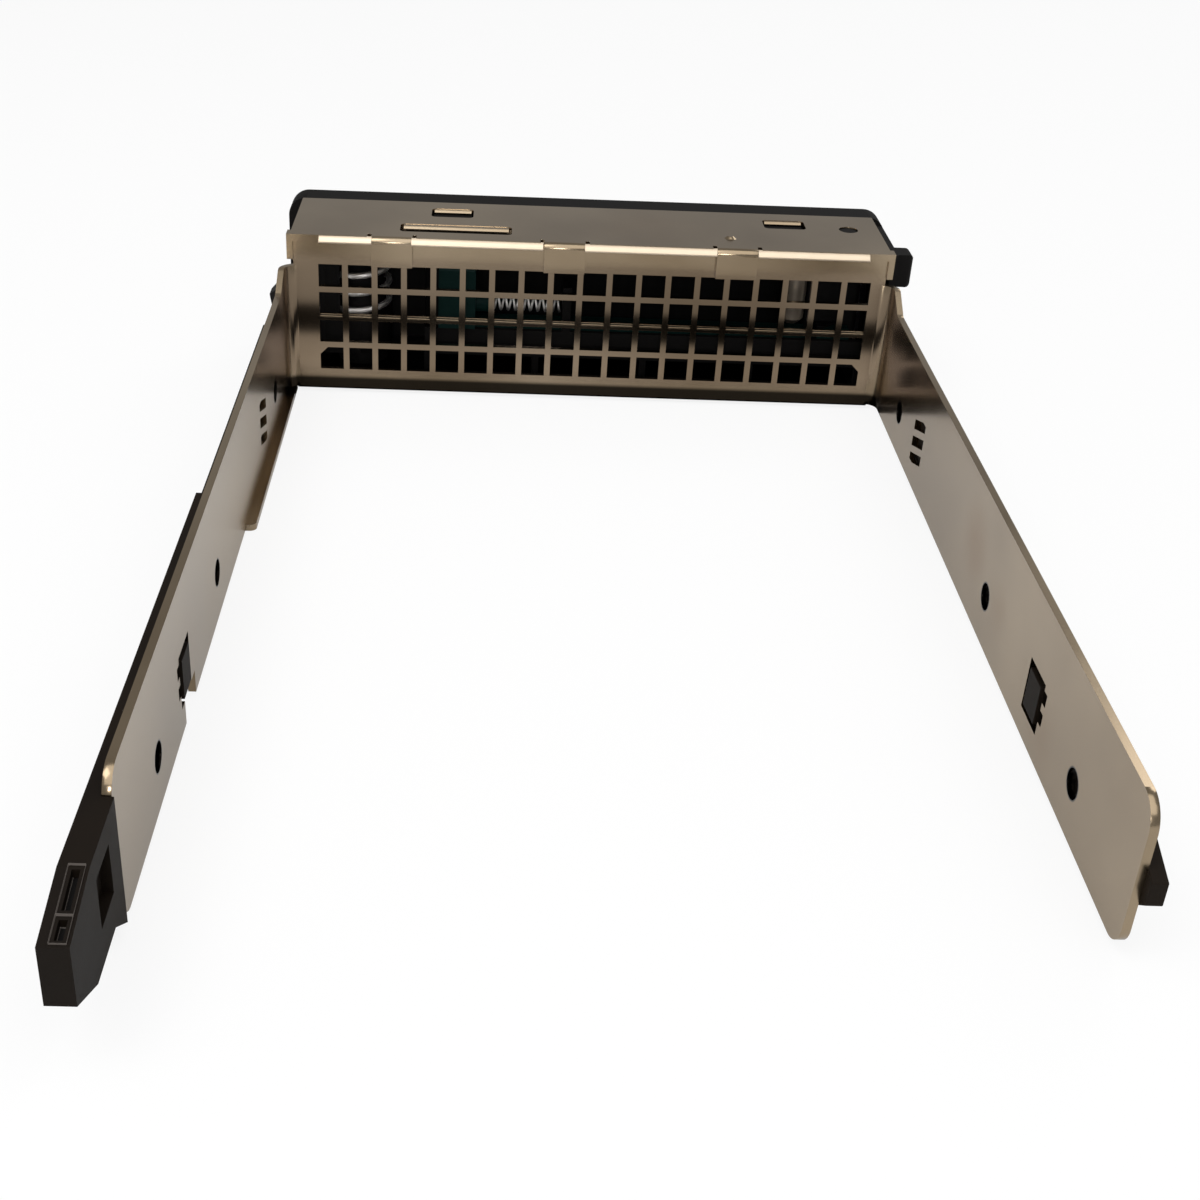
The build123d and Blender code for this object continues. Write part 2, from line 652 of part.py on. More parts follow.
def lever_strike():
    """Arm on the lever's back that the latch slider holds."""
    back = PLATE_Y - STRIKE_BACK
    wall = FRONT_Y + FACE_THICKNESS
    plan = rect(STRIKE_X, STRIKE_X + STRIKE_WIDTH, wall, back)
    plan += rect(STRIKE_X - STRIKE_LIP, STRIKE_X + STRIKE_WIDTH, wall, wall + LEVER_WALL)
    plan += rect(STRIKE_X - STRIKE_LIP, STRIKE_X + STRIKE_WIDTH, back - LIP_THICKNESS, back)
    return upright(plan, LATCH_LOW, LATCH_TOP)


def make_lever_face():
    """Slotted panel set into the lever's front."""
    panel = through(face_area(FACE_GAP), FRONT_Y + BUTTON_SINK, FRONT_Y + FACE_THICKNESS)
    panel = chamfer(panel.faces().sort_by(Axis.Y)[0].edges(), CLEAR)
    return panel - lever_slots(FRONT_Y, LEVER_BACK_Y)


def make_lever_spring():
    """Torsion spring round the knuckle, with a leg on the lever's side and one towards the plate."""
    radius = KNUCKLE_RADIUS + CLEAR + LEVER_SPRING_WIRE / 2
    margin = LEVER_SPRING_GAP + LEVER_SPRING_WIRE / 2
    low = KNUCKLE_LOW + WEB_LOW + margin
    spring = coil(radius, LEVER_SPRING_WIRE, KNUCKLE_TOP - WEB_TOP - margin - low, LEVER_SPRING_TURNS)
    return HINGE * Pos(0, 0, low) * spring


# Latch


def make_latch_slider():
    """Bar with a block: the block's tooth holds the lever, the bar's notch takes the button's ramp."""
    bar = upright(rect(SLIDER_END_X, SLIDER_BLOCK_X + SLIDER_BLOCK, SLIDER_FRONT_Y, SLIDER_BACK_Y),
                  SLIDER_Z, SLIDER_Z + SLIDER_HEIGHT)
    end = SLIDER_BLOCK_X + SLIDER_BLOCK
    top = SLIDER_Z + SLIDER_BLOCK_HEIGHT
    lift = TRAY_LEVEL + FENCE_HEIGHT + CLEAR
    back = SLIDER_BACK_Y + SLIDER_BLOCK_REACH
    side = rect(SLIDER_FRONT_Y, SLIDER_BACK_Y, SLIDER_Z, top) + rect(SLIDER_FRONT_Y, back, lift, top)
    block = across(side, SLIDER_BLOCK_X, end)
    block = chamfer(block.faces().sort_by(Axis.Z)[-1].edges(), CLEAR)
    reach = STRIKE_X - STRIKE_LIP - LATCH_GAP
    tooth = rect(SLIDER_BLOCK_X, reach, SLIDER_FRONT_Y - TOOTH_LENGTH, SLIDER_FRONT_Y + CLEAR)
    tooth = rounded(tooth, LATCH_GAP, (reach, SLIDER_FRONT_Y - TOOTH_LENGTH))
    boss = Pos(SLIDER_BACK_Y - SLIDER_DEPTH / 2, SPRING_Z) * Circle(BOSS_RADIUS)
    boss = across(boss, SLIDER_BLOCK_X - BOSS_LENGTH, SLIDER_BLOCK_X)
    slider = bar + block + upright(tooth, LATCH_LOW, LATCH_TOP) + boss
    return slider - ramp_notch()


def ramp_notch():
    """Slanted notch in the bar's upper half, with room for the travel."""
    y0 = SLIDER_FRONT_Y
    y1 = SLIDER_BACK_Y
    wall = RAMP_X - RAMP_ENTRY - RAMP_GAP
    far = RAMP_X - STEM_RAMP + STEM_WIDTH + BUTTON_TRAVEL + CLEAR
    plan = outline((wall, y0), (wall + SLIDER_DEPTH, y1), (far, y1), (far, y0))
    return upright(plan, SLIDER_Z + SLIDER_HEIGHT / 2, SLIDER_Z + SLIDER_HEIGHT)


def make_release_button():
    """Hollow push button with a stem whose slanted end drives the slider."""
    low, high = LEVER_LOW, LEVER_TOP
    back = BUTTON_FRONT_Y + BUTTON_DEPTH
    cap = through(rect(BUTTON_LEFT, BUTTON_RIGHT, low, high), BUTTON_FRONT_Y, back)
    cap = fillet(cap.faces().sort_by(Axis.Y)[0].edges(), BUTTON_ROUND)
    hollow = rect(BUTTON_LEFT + BUTTON_RIM, BUTTON_RIGHT - BUTTON_RIM, low + BUTTON_RIM, high - BUTTON_RIM)
    cap -= through(hollow, BUTTON_FRONT_Y + BUTTON_CAP, back)
    tip = SLIDER_FRONT_Y + RAMP_ENTRY
    root = BUTTON_FRONT_Y + BUTTON_CAP - CLEAR
    left = RAMP_X - STEM_RAMP
    right = left + STEM_WIDTH
    stem = outline((left, root), (left, tip - STEM_RAMP), (RAMP_X, tip), (right, tip), (right, root))
    return cap + upright(stem, STEM_LOW, STEM_TOP)


def make_latch_housing():
    """Tray behind the lever: floor on ribs, fences for the slider, a spring gate and the button's post."""
    back = PLATE_Y - TRAY_BACK
    front = back - TRAY_DEPTH
    tray = upright(rect(TRAY_LEFT, TRAY_RIGHT, front, back), TRAY_LEVEL - TRAY_FLOOR, TRAY_LEVEL)
    step = (TRAY_RIGHT - TRAY_LEFT - TRAY_RIB) / (TRAY_RIBS - 1)
    for number in range(TRAY_RIBS):
        left = TRAY_LEFT + step * number
        tray += upright(rect(left, left + TRAY_RIB, front, back), FRAME_SHEET, TRAY_LEVEL)
    rear = GATE_Y1 - FENCE
    tray += upright(rect(TRAY_LEFT, TRAY_RIGHT, rear, GATE_Y1), TRAY_LEVEL, TRAY_LEVEL + FENCE_HEIGHT)
    tray += upright(rect(POST_RIGHT, SLIDER_BLOCK_X - BOSS_LENGTH, GATE_Y0, GATE_Y0 + FENCE), TRAY_LEVEL,
                    TRAY_LEVEL + FENCE_HEIGHT)
    gate = rect(GATE_Y0, GATE_Y1, TRAY_LEVEL, TRAY_LEVEL + GATE_HEIGHT)
    gate -= rect(GATE_Y0 + FENCE, rear, TRAY_LEVEL, STEM_TOP + CLEAR)
    tray += across(gate, GATE_X, GATE_X + GATE_WIDTH)
    return tray + button_post()


def button_post():
    """Post behind the button, bridged over the stem, with a shelf for the peg that the lid drops on."""
    half = POST_DEPTH / 2
    high = COVER_UNDER - PLAY
    reach = PEG_RADIUS + CLEAR
    front = rect(POST_LEFT, POST_RIGHT, TRAY_LEVEL, high)
    left = RAMP_X - STEM_RAMP
    front -= rect(left - CLEAR, left + STEM_WIDTH + CLEAR, TRAY_LEVEL, STEM_TOP + CLEAR)
    post = through(front, POST_Y - half, POST_Y + half)
    shelf = rect(PEG_X - reach, PEG_X + reach, POST_Y - half, PEG_Y + reach)
    post += upright(shelf, high - POST_SHELF, high)
    return post + Pos(PEG_X, PEG_Y) * upright(Circle(PEG_RADIUS), high, BOX_HEIGHT - PEG_RECESS)


def make_latch_spring():
    """Compression spring between the gate and the slider's boss."""
    start = GATE_X + GATE_WIDTH
    length = SLIDER_BLOCK_X - BOSS_LENGTH - start - LATCH_SPRING_WIRE - 2 * PIN_CLEARANCE
    spring = coil(LATCH_SPRING_RADIUS, LATCH_SPRING_WIRE, length, LATCH_SPRING_TURNS)
    place = Pos(start + LATCH_SPRING_WIRE / 2 + PIN_CLEARANCE, SLIDER_BACK_Y - SLIDER_DEPTH / 2, SPRING_Z)
    return place * Rot(0, 90, 0) * spring


def make_button_spring():
    """Compression spring between the post and the button's cap."""
    start = BUTTON_FRONT_Y + BUTTON_CAP
    length = POST_Y - POST_DEPTH / 2 - start - BUTTON_SPRING_WIRE - 2 * PIN_CLEARANCE
    spring = coil(BUTTON_SPRING_RADIUS, BUTTON_SPRING_WIRE, length, BUTTON_SPRING_TURNS)
    place = Pos(BUTTON_X, start + BUTTON_SPRING_WIRE / 2 + PIN_CLEARANCE, BUTTON_SPRING_LEVEL)
    return place * Rot(-90, 0, 0) * spring


# Rails


def clip(side, x_sign):
    """Tongue of a rail that fills an arm's window, a little proud inside."""
    a, b = sorted((x_sign * (ARM_IN - CLIP_PROUD), x_sign * ARM_OUT))
    return across(side, a, b)


def clip_side():
    """Side outline of a rail's tongue within the arm's window."""
    end = WINDOW_Y + WINDOW_LENGTH
    high = WINDOW_Z + WINDOW_HEIGHT
    return rect(WINDOW_Y + CLIP_MARGIN, end - CLIP_MARGIN, WINDOW_Z + CLIP_MARGIN, high - CLIP_MARGIN)


def make_light_pipe_rail():
    """Rail along one arm that houses the light pipes, thickened behind the arm's end."""
    nose = PLATE_Y + RAIL_START
    climb = PLATE_Y + RAIL_CLIMB
    step = PLATE_Y + RAIL_STEP
    ramp = TAIL_END_Y - TAIL_RAMP
    side = outline(
        (nose, RAIL_NOSE_LOW), (climb, RAIL_LOW), (ARM_END_Y, RAIL_LOW), (ARM_END_Y, TAIL_HEEL),
        (ARM_END_Y + TAIL_RISE, TAIL_TOE), (ramp, TAIL_TOE), (TAIL_END_Y, TAIL_TIP_LOW),
        (TAIL_END_Y, TAIL_TIP_TOP), (TAIL_END_Y - TAIL_SLOPE, RAIL_TOP), (step, RAIL_TOP),
        (step - THROUGH, RAIL_FRONT_TOP), (climb, RAIL_FRONT_TOP), (nose, RAIL_NOSE_TOP))
    for y in SCREW_YS:
        side -= Pos(y, SCREW_Z) * Circle(HEAD_RADIUS)
    rail = across(side, ARM_OUT, RAIL_OUT) + clip(clip_side(), 1)
    tail = side & rect(ARM_END_Y, TAIL_END_Y, 0, RAIL_TOP)
    inner = RAIL_OUT - TAIL_THICKNESS
    rail += across(tail, inner, RAIL_OUT)
    low = POCKET_LEVEL
    start = ARM_END_Y + POCKET_START
    rail -= across(rect(start, start + POCKET_LENGTH, low, low + POCKET_HEIGHT), inner, inner + POCKET_DEPTH)
    rail = rail - tail_slots(inner)
    return rail - pipe_bores()


def tail_slots(inner):
    """Two slots in a row along the tail's sloping top."""
    left = inner + SLOT_LINE
    end = TAIL_END_Y - SLOT_LINE
    slots = Part()
    for length in (TAIL_SLOT_SHORT, TAIL_SLOT_LONG):
        plan = rect(left, left + TAIL_SLOT, end - length, end)
        slots += upright(plan, TAIL_TIP_TOP - TAIL_SLOT_DEPTH, RAIL_TOP + THROUGH)
        end -= length + TAIL_SLOT_GAP
    return slots


def make_guide_rail():
    """Plain guide on the other arm, clipped into its window."""
    start = PLATE_Y + GUIDE_START
    end = ARM_END_Y + GUIDE_OVERRUN
    side = outline(
        (start, GUIDE_LOW + GUIDE_EASE), (start + GUIDE_EASE, GUIDE_LOW), (end - GUIDE_RAMP, GUIDE_LOW),
        (end, GUIDE_TIP_LOW), (end, GUIDE_TIP_TOP), (end - GUIDE_RAMP, GUIDE_TOP),
        (start + GUIDE_EASE, GUIDE_TOP), (start, GUIDE_TOP - GUIDE_EASE))
    rail = across(side, -RAIL_OUT, -ARM_OUT) + clip(clip_side(), -1)
    for y in SCREW_YS:
        rail -= across(Pos(y, SCREW_Z) * Circle(HEAD_RADIUS), -RAIL_OUT, -ARM_OUT)
    return rail


PARTS = {
    "frame": make_frame,
    "top_cover": make_top_cover,
    "stop_pin": make_stop_pin,
    "bezel": make_bezel,
    "hinge_pin": make_hinge_pin,
    "lever": make_lever,
    "lever_face": make_lever_face,
    "lever_spring": make_lever_spring,
    "latch_slider": make_latch_slider,
    "latch_spring": make_latch_spring,
    "release_button": make_release_button,
    "button_spring": make_button_spring,
    "latch_housing": make_latch_housing,
    "light_pipe_rail": make_light_pipe_rail,
    "guide_rail": make_guide_rail,
}

os.makedirs("parts", exist_ok=True)
for name, make in PARTS.items():
    export_step(make(), f"parts/{name}.step")
for name, levels in PIPE_LEVELS.items():
    export_step(pipe(levels, PIPE_HALF, FRONT_Y + PIPE_RECESS), f"parts/{name}.step")
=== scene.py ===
"""Looks for a hot swap drive caddy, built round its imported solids."""

import math

import bpy
from bpy.props import FloatProperty, PointerProperty, StringProperty
from mathutils import Matrix, Vector


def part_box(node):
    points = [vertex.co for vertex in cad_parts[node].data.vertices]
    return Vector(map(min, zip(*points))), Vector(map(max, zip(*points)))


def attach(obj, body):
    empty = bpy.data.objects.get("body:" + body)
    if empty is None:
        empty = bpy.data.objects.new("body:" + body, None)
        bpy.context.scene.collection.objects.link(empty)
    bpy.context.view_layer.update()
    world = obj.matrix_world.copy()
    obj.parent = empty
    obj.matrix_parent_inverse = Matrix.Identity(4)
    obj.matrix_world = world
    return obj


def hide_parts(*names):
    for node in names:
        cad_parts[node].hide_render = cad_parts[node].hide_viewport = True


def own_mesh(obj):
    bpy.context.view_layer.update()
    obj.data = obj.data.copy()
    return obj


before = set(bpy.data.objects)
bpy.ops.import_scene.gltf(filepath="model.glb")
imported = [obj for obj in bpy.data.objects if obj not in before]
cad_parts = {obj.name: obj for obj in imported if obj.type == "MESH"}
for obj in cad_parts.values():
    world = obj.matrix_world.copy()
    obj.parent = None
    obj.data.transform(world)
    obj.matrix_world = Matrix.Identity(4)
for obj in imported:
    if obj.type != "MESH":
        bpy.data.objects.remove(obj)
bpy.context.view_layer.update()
MM = 0.001

bl_info = {
    "name": "Drive Caddy",
    "version": (1, 0, 0),
    "blender": (4, 5, 0),
    "location": "View3D > Sidebar > Drive Caddy",
    "description": "Dresses the solids of a hot swap drive caddy",
    "category": "Object",
}

# The solids, by finish
STEEL_NODES = ("frame", "top_cover")
PIN_NODES = ("stop_pin", "hinge_pin")
BLACK_NODES = ("bezel", "lever", "lever_face", "release_button", "latch_housing")
RAIL_NODES = ("light_pipe_rail", "guide_rail")
GREEN_NODES = ("latch_slider",)
PIPE_NODES = ("light_pipe_upper", "light_pipe_lower")

# Main sizes, in millimetres like all that follow unless a comment says otherwise: the arms run
# from the perforated plate to their open ends, and the lid stands out past the plate
ARM_LENGTH = 139.5
COVER_OVERHANG = 0.6
LID_TOP = 28.7
BAY_WIDTH = 103.4

# Patterns of the finishes, by the size of their marks. The tool marks, the marks of drawing and
# the spark-eroded grain are coarser than the real ones, so that they show
STREAK_WIDTH = 1.11
STREAK_LENGTH = 16.7
CLOUD_SIZE = 35.7
STAIN_GRAIN = 5.56
RUB_MARKS = 2.0
TOOL_MARKS = 1.11
DRAW_MARKS = 0.667
SPARK_GRAIN = 0.4
FLOW_MARKS = 16.7
HAZE_SIZE = 2.5

# Plating: where the cloudy pattern turns from dark to light, how much it blurs the mirror, and
# the rolling streaks' depth and strength
CLOUD_TONES = (0.35, 0.7)
CLOUD_GLOSS = (0.3, 0.7)
CLOUD_BLUR = 0.1
STREAK_DEPTH = 0.05
STREAK_STRENGTH = 0.05

# Roughness of the plain finishes, at their glossiest and dullest
EDGE_ROUGHNESS = (0.3, 0.45)
PIN_ROUGHNESS = (0.4, 0.55)
WIRE_ROUGHNESS = (0.4, 0.55)
PIPE_ROUGHNESS = (0.05, 0.16)
PIPE_IOR = 1.49
PIPE_CLEARNESS = 0.8

# Brown stains on the steel: centre, reach and strength
STAINS = (
    ((-51.7, 2.4, 11.3), 8.0, 1.0),
    ((-51.7, 17.0, 9.0), 5.0, 0.5),
    ((-51.7, 40.0, 6.0), 7.0, 0.4),
    ((51.7, 33.0, 8.0), 8.0, 0.4),
    ((-10.0, -76.0, 28.7), 14.0, 0.35),
)

# Soil and painted shade in the plate's lower fold: the heights and the places over which they
# fade, their strength
FOLD_SOIL_AND_SHADE_TOP = (2.5, 3.4)
FOLD_SOIL_AND_SHADE_END = (-62.5, -60.5)
FOLD_SOIL_AND_SHADE_STRENGTH = 0.95

# Drive screw holes in both arms, and the ring over which the painted shade inside them fades
SCREW_YS = (52.75, 11.15, -48.85)
SCREW_Z = 7.4
SCREW_SHADE_FADE = (1.95, 2.1)

# Moulded plastic: its roughness and how far that strays below and above, its shine and its grain
ABS_ROUGHNESS = 0.6
ACETAL_ROUGHNESS = 0.5
RIM_ROUGHNESS = 0.5
MOULD_SPREAD = (0.06, 0.08)
MOULD_IOR = 1.53
MOULD_SHINE = 0.08
GRAIN_DEPTH = 0.03
GRAIN_STRENGTH = 0.25

# Meshes: the gap in metres that is welded, the angles that are sharp and smooth, and how near
# a corner lies to a face that it belongs to
WELD_GAP = 1e-6
SHARP_ANGLE = math.radians(35)
SMOOTH_ANGLE = math.radians(30)
TOUCH = 0.01

# Steps and shape of every rolled edge
ROLL_STEPS = 3
ROLL_SHAPE = 0.35

# Bright edges of the lid, between its tabs: where each starts and ends, and how far they all
# reach into the lid and lie below its top
EDGE_SPANS = ((36.9, 45.9), (8.1, 30.4), (-21.2, 1.25), (-47.0, -28.0))
EDGE_GRIP = 0.3
EDGE_SUNK = 0.02
EDGE_ROUNDING = 0.15

# Lips of the lid's slots: middle, width, far wall and depth of each
SLOT_LIPS = ((23.9, 6.5, -82.05, 0.8), (-34.2, 6.5, -82.05, 0.8), (23.0, 18.0, -73.15, 1.3))
LIP_GRIP = 0.05
LIP_HEIGHT = 0.5
LIP_ROLL = 0.4
LIP_ROUNDING = 0.1

# Burrs on the lower edges of the plate's second row of holes: the row's place and pitch, then
# half the width of each, and how far it reaches into, out of, below and above the edge
GRID_FALL = 14.3
GRID_SHIFT = -0.9
GRID_PITCH = 5.0
GRID_COLUMNS = 19
BURR_HALF = 1.9
BURR_GRIP = 0.65
BURR_OUT = 0.05
BURR_LOW = 0.5
BURR_HIGH = 0.1
BURR_ROLL = 0.4
BURR_ROUNDING = 0.04

# Rims round the two slots in the light pipe rail's tail, whose top slopes down to its end
RIMS = ((83.7, 89.3), (89.3, 92.4))
RIM_LEFT = 51.75
RIM_RIGHT = 53.45
RIM_DEPTH = 1.4
RIM_SINK = 0.9 * RIM_DEPTH
RIM_ROUNDING = 0.06
TAIL_TOP = 17.6
TAIL_SLOPE_Y = 83.95
TAIL_FALL = 2.0 / 8.8

# Skirt under the guide rail: from and to behind the plate, and its place on the rail
SKIRT = (24.0, 40.0)
SKIRT_LOW = 1.6
SKIRT_OUTSET = 0.3
SKIRT_INSET = 1.0
SKIRT_LAP = 0.2
SKIRT_ROUNDING = 0.2

# Camera of the photograph: its place, its turn, tilt and roll in degrees, its lens in pixels,
# its sensor, and in metres the nearest that it sees
CAMERA_PLACE = (14.483, 204.921, 120.13)
CAMERA_YAW = -1.170
CAMERA_PITCH = 30.215
CAMERA_ROLL = 2.383
FOCAL_PIXELS = 1668.46
CENTRE_PIXELS = (524.56, 583.11)
IMAGE_PIXELS = 1200.0
SENSOR = 36.0
CLIP_START = 0.01

# Square lamps, in metres and watts: place, target, side and power
LAMPS = {
    "overhead": ((0.0, 0.25, 0.6), (0.0, -0.05, 0.0), 0.8, 3.2),
    "key": ((0.35, 0.25, 0.7), (0.0, 0.0, 0.0), 0.4, 1.5),
    "front": ((0.05, 0.75, 0.3), (0.0, -0.07, 0.015), 0.15, 1.2),
    "bezel": ((-0.45, -0.5, 0.5), (0.0, -0.09, 0.015), 0.3, 0.9),
}

# World and floor: the light that the world gives, the floor's side in metres and its grey, and
# the share of white that the camera sees on it
WORLD_LEVEL = 0.42
FLOOR_SIZE = 6.0
FLOOR_GREY = (0.8, 0.8, 0.8)
FLOOR_WHITE = 0.85
WHITE = (1.0, 1.0, 1.0)

# Cards of the stage that only mirrors see. The upright one gives the plate its dark band: its
# distance, its height, its strength at each share of that height, its tint, and its strength
# and tint in a second mirror
FLAG_DISTANCE = 8.0
FLAG_HEIGHT = 22.0
FLAG_BANDS = ((0.0, 0.6), (0.1, 0.78), (0.32, 0.66), (0.38, 0.01), (0.58, 0.01), (0.63, 0.5),
              (1.0, 0.62))
FLAG_TINT = (1.0, 0.97, 1.0)
FLAG_SECOND = 1.3
SECOND_TINT = (1.0, 1.05, 1.25)
# The flat one darkens the fold: from and to behind the plate, its height, its tint, and its
# strength in a first and a second mirror
FOLD_CARD = (-2.0, 1.5)
FOLD_LIFT = 0.05
FOLD_TINT = (1.0, 0.9, 0.8)
FOLD_LEVELS = (0.02, 0.6)


def linear(code):
    """Linear colour of an sRGB hex value."""
    channels = [int(code[step:step + 2], 16) / 255 for step in (1, 3, 5)]
    return tuple(c / 12.92 if c <= 0.04045 else ((c + 0.055) / 1.055) ** 2.4 for c in channels)


def rgba(colour):
    """Colour with full alpha."""
    return (*colour, 1.0)


def per(size):
    """Texture scale of a pattern of so many millimetres."""
    return 1.0 / (size * MM)


def add_node(tree, kind, inputs=None, **settings):
    """Adds a node to a tree, sets it, and fills or links its inputs."""
    made = tree.nodes.new(kind)
    for name, value in settings.items():
        setattr(made, name, value)
    for name, value in (inputs or {}).items():
        if isinstance(value, bpy.types.NodeSocket):
            tree.links.new(value, made.inputs[name])
        else:
            made.inputs[name].default_value = value
    return made


def new_material(name):
    """Empty node material and its tree."""
    made = bpy.data.materials.new(name)
    made.use_nodes = True
    made.node_tree.nodes.clear()
    return made, made.node_tree


# Materials


def nickel_plated_steel(looks):
    """Cold rolled sheet, nickel plated: a blurred mirror with rolling streaks, handling marks and
    brown stains, soil and painted shade in the plate's lower fold, painted shade in the screw
    holes."""
    made, tree = new_material("nickel_plated_steel")
    place = add_node(tree, "ShaderNodeTexCoord").outputs["Object"]
    streaks = add_node(tree, "ShaderNodeMapping", {
        "Vector": place, "Scale": (per(STREAK_WIDTH), per(STREAK_LENGTH), per(STREAK_WIDTH))})
    roll = add_node(tree, "ShaderNodeTexNoise", {
        "Vector": streaks.outputs[0], "Scale": 1.0, "Detail": 3.0}).outputs["Fac"]
    bump = add_node(tree, "ShaderNodeBump", {
        "Height": roll, "Strength": STREAK_STRENGTH, "Distance": STREAK_DEPTH * MM}).outputs[0]
    cloud = add_node(tree, "ShaderNodeTexNoise", {
        "Vector": place, "Scale": per(CLOUD_SIZE), "Detail": 4.0}).outputs["Fac"]
    gloss = add_node(tree, "ShaderNodeMapRange", {
        "Value": cloud, "From Min": CLOUD_GLOSS[0], "From Max": CLOUD_GLOSS[1],
        "To Min": looks.steel_roughness, "To Max": looks.steel_roughness + CLOUD_BLUR}).outputs[0]
    tone = add_node(tree, "ShaderNodeValToRGB", {"Fac": cloud})
    for point, spot, code in zip(tone.color_ramp.elements, CLOUD_TONES,
                                 (looks.steel_dark_hex, looks.steel_light_hex)):
        point.position = spot
        point.color = rgba(linear(code))
    colour = tone.outputs[0]
    # Stains, then soil with painted shade in the fold, then painted shade in the screw holes
    for mask, code in (*stain_masks(tree, place, looks), soil_and_shade_mask(tree, place, looks),
                       *screw_hole_shade_masks(tree, place, looks)):
        layer = add_node(tree, "ShaderNodeMix", {
            "Factor": mask, "A": colour, "B": rgba(linear(code))}, data_type="RGBA")
        colour = layer.outputs["Result"]
    shader = add_node(tree, "ShaderNodeBsdfPrincipled", {
        "Base Color": colour, "Roughness": gloss, "Metallic": 1.0, "Normal": bump})
    add_node(tree, "ShaderNodeOutputMaterial", {"Surface": shader.outputs[0]})
    return made


def stain_masks(tree, place, looks):
    """Mottled round masks of the brown stains, each with its tone."""
    ragged = add_node(tree, "ShaderNodeTexNoise", {
        "Vector": place, "Scale": per(STAIN_GRAIN), "Detail": 4.0}).outputs["Fac"]
    for centre, reach, strength in STAINS:
        away = add_node(tree, "ShaderNodeVectorMath", {0: place, 1: tuple(c * MM for c in centre)},
                        operation="DISTANCE").outputs["Value"]
        near = add_node(tree, "ShaderNodeMapRange", {
            "Value": away, "From Min": 0.0, "From Max": reach * MM, "To Min": strength,
            "To Max": 0.0}, interpolation_type="SMOOTHSTEP").outputs[0]
        mottled = add_node(tree, "ShaderNodeMath", {0: near, 1: ragged}, operation="MULTIPLY")
        yield mottled.outputs[0], looks.stain_hex


def soil_and_shade_mask(tree, place, looks):
    """Mask of the soil and painted shade that lie low in the plate's fold, with their tone."""
    parts = add_node(tree, "ShaderNodeSeparateXYZ", {0: place}).outputs
    # Darker low in the fold: soil, with painted shade for the dark floor that the fold mirrors
    low = add_node(tree, "ShaderNodeMapRange", {
        "Value": parts["Z"], "From Min": FOLD_SOIL_AND_SHADE_TOP[0] * MM, "From Max": FOLD_SOIL_AND_SHADE_TOP[1] * MM,
        "To Min": 1.0, "To Max": 0.0}, interpolation_type="SMOOTHSTEP").outputs[0]
    close = add_node(tree, "ShaderNodeMapRange", {
        "Value": parts["Y"], "From Min": FOLD_SOIL_AND_SHADE_END[0] * MM, "From Max": FOLD_SOIL_AND_SHADE_END[1] * MM,
        "To Min": FOLD_SOIL_AND_SHADE_STRENGTH, "To Max": 0.0}).outputs[0]
    both = add_node(tree, "ShaderNodeMath", {0: low, 1: close}, operation="MULTIPLY")
    return both.outputs[0], looks.soil_and_shade_hex


def screw_hole_shade_masks(tree, place, looks):
    """Masks of the painted shade inside the screw holes through both arms, each with its tone."""
    flat = add_node(tree, "ShaderNodeVectorMath", {0: place, 1: (0.0, 1.0, 1.0)},
                    operation="MULTIPLY").outputs[0]
    for y in SCREW_YS:
        away = add_node(tree, "ShaderNodeVectorMath", {0: flat, 1: (0.0, y * MM, SCREW_Z * MM)},
                        operation="DISTANCE").outputs["Value"]
        # Painted shade inside each screw hole
        inside = add_node(tree, "ShaderNodeMapRange", {
            "Value": away, "From Min": SCREW_SHADE_FADE[0] * MM, "From Max": SCREW_SHADE_FADE[1] * MM,
            "To Min": 1.0, "To Max": 0.0})
        yield inside.outputs[0], looks.hole_shade_hex


def one_tone(name, code, marks, detail, roughness, shader):
    """One colour, whose roughness wanders between two values over marks of a given size."""
    made, tree = new_material(name)
    place = add_node(tree, "ShaderNodeTexCoord").outputs["Object"]
    pattern = add_node(tree, "ShaderNodeTexNoise", {
        "Vector": place, "Scale": per(marks), "Detail": detail}).outputs["Fac"]
    gloss = add_node(tree, "ShaderNodeMapRange", {
        "Value": pattern, "To Min": roughness[0], "To Max": roughness[1]}).outputs[0]
    surface = add_node(tree, "ShaderNodeBsdfPrincipled", {
        "Base Color": rgba(linear(code)), "Roughness": gloss, **shader})
    add_node(tree, "ShaderNodeOutputMaterial", {"Surface": surface.outputs[0]})
    return made


def cut_edge_with_painted_highlight(looks):
    """Rolled-over cut edge of the plated sheet, in a lighter metal whose brightness is partly a
    painted highlight.
    """
    return one_tone("cut_edge_with_painted_highlight", looks.edge_highlight_hex, RUB_MARKS, 2.0, EDGE_ROUGHNESS,
                    {"Metallic": 1.0})


def turned_steel(looks):
    """Plain turned steel: duller and greyer than the plated sheet, from its fine tool marks."""
    return one_tone("turned_steel", looks.pin_hex, TOOL_MARKS, 2.0, PIN_ROUGHNESS,
                    {"Metallic": 1.0})


def spring_wire(looks):
    """Bright drawn spring wire: pale metal, a little dulled by the marks of drawing."""
    return one_tone("spring_wire", looks.wire_hex, DRAW_MARKS, 1.0, WIRE_ROUGHNESS,
                    {"Metallic": 1.0})


def clear_acrylic(looks):
    """Clear moulded acrylic of the light pipes: glossy, with a slight haze."""
    return one_tone("clear_acrylic", looks.pipe_hex, HAZE_SIZE, 2.0, PIPE_ROUGHNESS,
                    {"IOR": PIPE_IOR, "Transmission Weight": PIPE_CLEARNESS})


